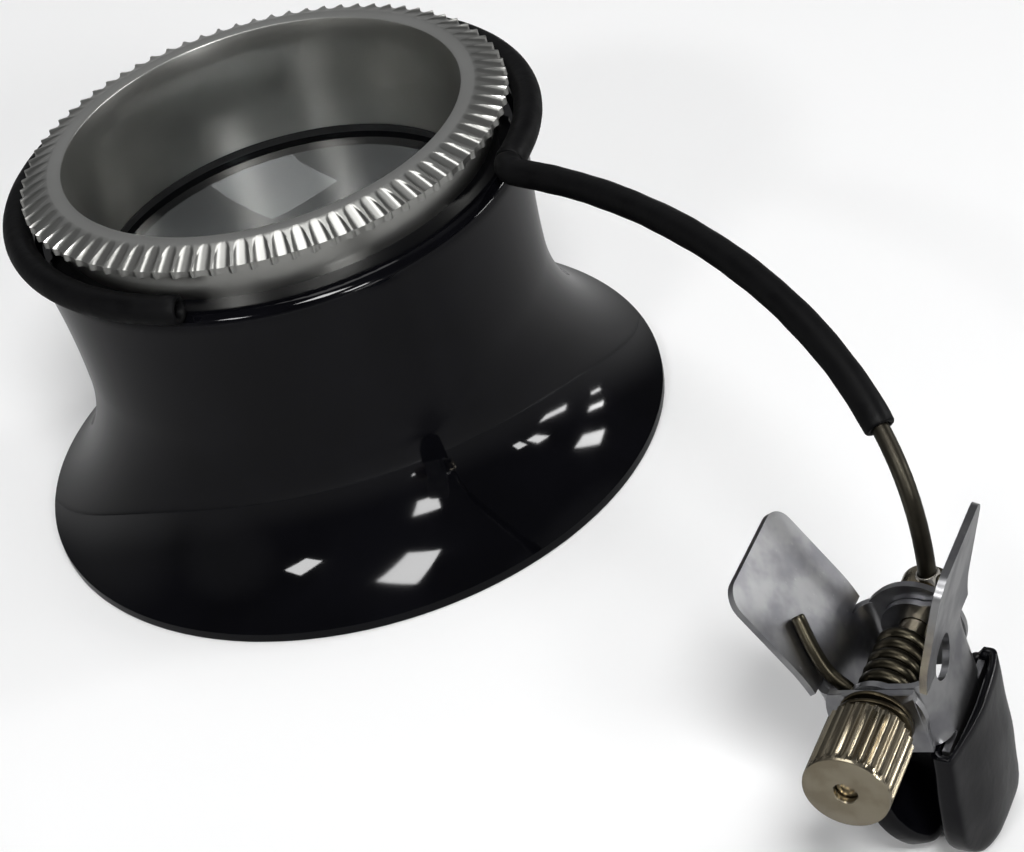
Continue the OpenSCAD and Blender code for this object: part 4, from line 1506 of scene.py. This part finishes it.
@dataclass
class Studio:
    """Floor, lights, room and camera.

    Attributes:
        eye: the camera's place in millimetres.
        right: the camera's right-hand direction.
        forward: the camera's viewing direction.
        lens: focal length for a 36 mm wide sensor.
        backdrop: height of the white backdrop, as the sine of its elevation.
        low_glow: brightness of the room at the floor.
        high_glow: brightness of the room above the backdrop.
        mirrored: share of the white backdrop that mirrors see at the floor.
        panels: the ceiling lamps.
        glows: soft patches of the room.
    """

    eye: tuple[float, float, float] = (20.599, -139.696, 95.907)
    right: tuple[float, float, float] = (0.9733, -0.0749, -0.2171)
    forward: tuple[float, float, float] = (-0.0649, 0.8170, -0.5730)
    lens: float = 94.96
    backdrop: float = 0.3
    low_glow: float = 0.15
    high_glow: float = 0.055
    mirrored: float = 0.28
    panels: tuple[Panel, ...] = (
        Panel("Overhead_softbox", (0.03, 0.12), (0.42, 0.66), 35.0, 3.0),
        Panel("Ceiling_lamp_1", (-0.72, -1.26), (0.25, 0.33), 25.0, 34.0),
        Panel("Ceiling_lamp_2", (0.19, -0.81), (0.28, 0.40), 48.0, 34.0),
        Panel("Ceiling_lamp_3", (1.07, -2.15), (0.42, 0.80), 32.0, 34.0),
        Panel("Ceiling_lamp_4", (2.17, 0.47), (0.46, 0.45), 40.0, 34.0),
        Panel("Ceiling_lamp_5", (3.85, 1.57), (0.50, 0.55), 42.0, 34.0),
        Panel("Ceiling_lamp_6", (3.90, -0.65), (0.40, 1.00), 62.0, 34.0),
        Panel("Ceiling_lamp_7", (4.00, -1.30), (0.30, 0.90), 62.0, 30.0),
        Panel("Ceiling_lamp_8", (7.30, 0.45), (1.6, 1.7), 20.0, 30.0, 300.0),
        Panel("Ceiling_lamp_9", (6.10, 3.05), (0.7, 0.6), 30.0, 30.0, 300.0),
        Panel("Ceiling_lamp_10", (5.4, -9.2), (2.2, 2.0), 30.0, 30.0, 200.0),
    )
    glows: tuple[Glow, ...] = (
        Glow(100.0, 38.0, 34.0, 0.26),
        Glow(-150.0, 22.0, 24.0, 0.2),
        Glow(165.0, 10.0, 30.0, 0.2),
        Glow(20.0, 60.0, 22.0, 0.2),
    )

    def camera(self) -> None:
        """Places the camera at the photograph's viewing angle."""
        data = bpy.data.cameras.new("Camera")
        data.sensor_width = 36.0
        data.lens = self.lens
        data.clip_start = 0.01
        x, z = Vector(self.right).normalized(), -Vector(self.forward).normalized()
        y = z.cross(x).normalized()
        x = y.cross(z).normalized()
        camera = add_object("Camera", data)
        turn = Matrix((x, y, z)).transposed().to_4x4()
        camera.matrix_world = Matrix.Translation(Vector(self.eye) * MM) @ turn
        bpy.context.scene.camera = camera

    def floor(self) -> None:
        """A plain pale floor that isn't part of the object; a mirror sees it darker than the camera does, with
        painted shade in its reflections.
        """
        mesh = bpy.data.meshes.new("Floor")
        half = FLOOR_HALF
        mesh.from_pydata([(-half, -half, 0), (half, -half, 0), (half, half, 0), (-half, half, 0)], [], [(0, 1, 2, 3)])
        material = bpy.data.materials.new("Pale_floor")
        nodes = Graph.of(material)
        # Glossy rays see the floor in a darker colour: painted shade in its reflections.
        paper = nodes.blend(nodes("ShaderNodeLightPath", out="Is Glossy Ray"), FLOOR_SEEN, FLOOR_PAINTED_SHADE)
        surface = {"Base Color": paper, "Roughness": 0.9, "Specular IOR Level": 0.1}
        nodes.node("ShaderNodeOutputMaterial", {"Surface": nodes("ShaderNodeBsdfPrincipled", surface)})
        add_object("Floor", mesh, material)

    def world(self) -> None:
        """A white backdrop for the camera, which mirrors see near the floor, and a dim room for the light."""
        world = bpy.data.worlds.new("Studio")
        bpy.context.scene.world = world
        nodes = Graph.of(world)
        path = nodes.node("ShaderNodeLightPath").outputs
        way = nodes("ShaderNodeTexCoord", out="Generated")
        height = nodes("ShaderNodeSeparateXYZ", {0: way}, "Z")
        near_floor = (0.0, self.backdrop)
        level = nodes.ramp(height, near_floor, (self.low_glow, self.high_glow))
        for glow in self.glows:
            a, e = math.radians(glow.azimuth), math.radians(glow.elevation)
            aim = (math.cos(e) * math.cos(a), math.cos(e) * math.sin(a), math.sin(e))
            near = nodes("ShaderNodeVectorMath", {0: way, 1: aim}, "Value", operation="DOT_PRODUCT")
            patch = nodes.ramp(near, (math.cos(math.radians(glow.spread)), 1.0), (0.0, glow.glow))
            level = nodes.math("ADD", level, patch)
        seen = nodes.math("MAXIMUM", path["Is Camera Ray"], path["Is Transmission Ray"])
        band = nodes.ramp(height, near_floor, (self.mirrored, 0.0))
        through = nodes.math("MAXIMUM", seen, nodes.math("MULTIPLY", path["Is Glossy Ray"], band))
        soft = nodes("ShaderNodeBackground", {"Color": linear("#FBFCFF"), "Strength": level})
        white = nodes("ShaderNodeBackground", {"Color": (1.0, 1.0, 1.0, 1.0), "Strength": 1.0})
        mix = nodes("ShaderNodeMixShader", {"Fac": through, 1: soft, 2: white})
        nodes.node("ShaderNodeOutputWorld", {"Surface": mix})
        bpy.context.scene.view_settings.view_transform = "Standard"

    def build(self) -> None:
        """Makes the whole studio."""
        self.camera()
        self.floor()
        for panel in self.panels:
            panel.build()
        self.world()


def dress_nodes(frame: dict, materials: dict[Slot, Material]) -> None:
    """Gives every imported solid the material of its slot, and breaks the edges of the washers.

    Args:
        materials: materials by slot.
    """
    slots = {part["node"]: Slot(part["material_slot"]) for part in frame["record"]["subparts"]}
    for name, obj in frame["nodes"].items():
        obj.data.materials.clear()
        obj.data.materials.append(materials[slots[name]])
    for name in ("rear_washer", "inner_washer", "curved_washer", "outer_washer"):
        break_edges(frame["nodes"][name], WASHER_EDGE)


def main() -> None:
    """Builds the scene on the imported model."""
    logging.basicConfig(level=logging.INFO)
    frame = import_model()
    Studio().build()
    materials = {slot: finish.build() for slot, finish in FINISHES.items()}
    materials[Slot.LENS] = lens_glass()
    dress_nodes(frame, materials)
    shop = Workshop(materials)
    eyepiece = Eyepiece(shop)
    eyepiece.cup()
    eyepiece.ring()
    clip_frame = ClipFrame()
    Hanger(shop, clip_frame).build()
    Clip(shop, clip_frame).build(frame["nodes"])


if __name__ == "__main__":
    main()
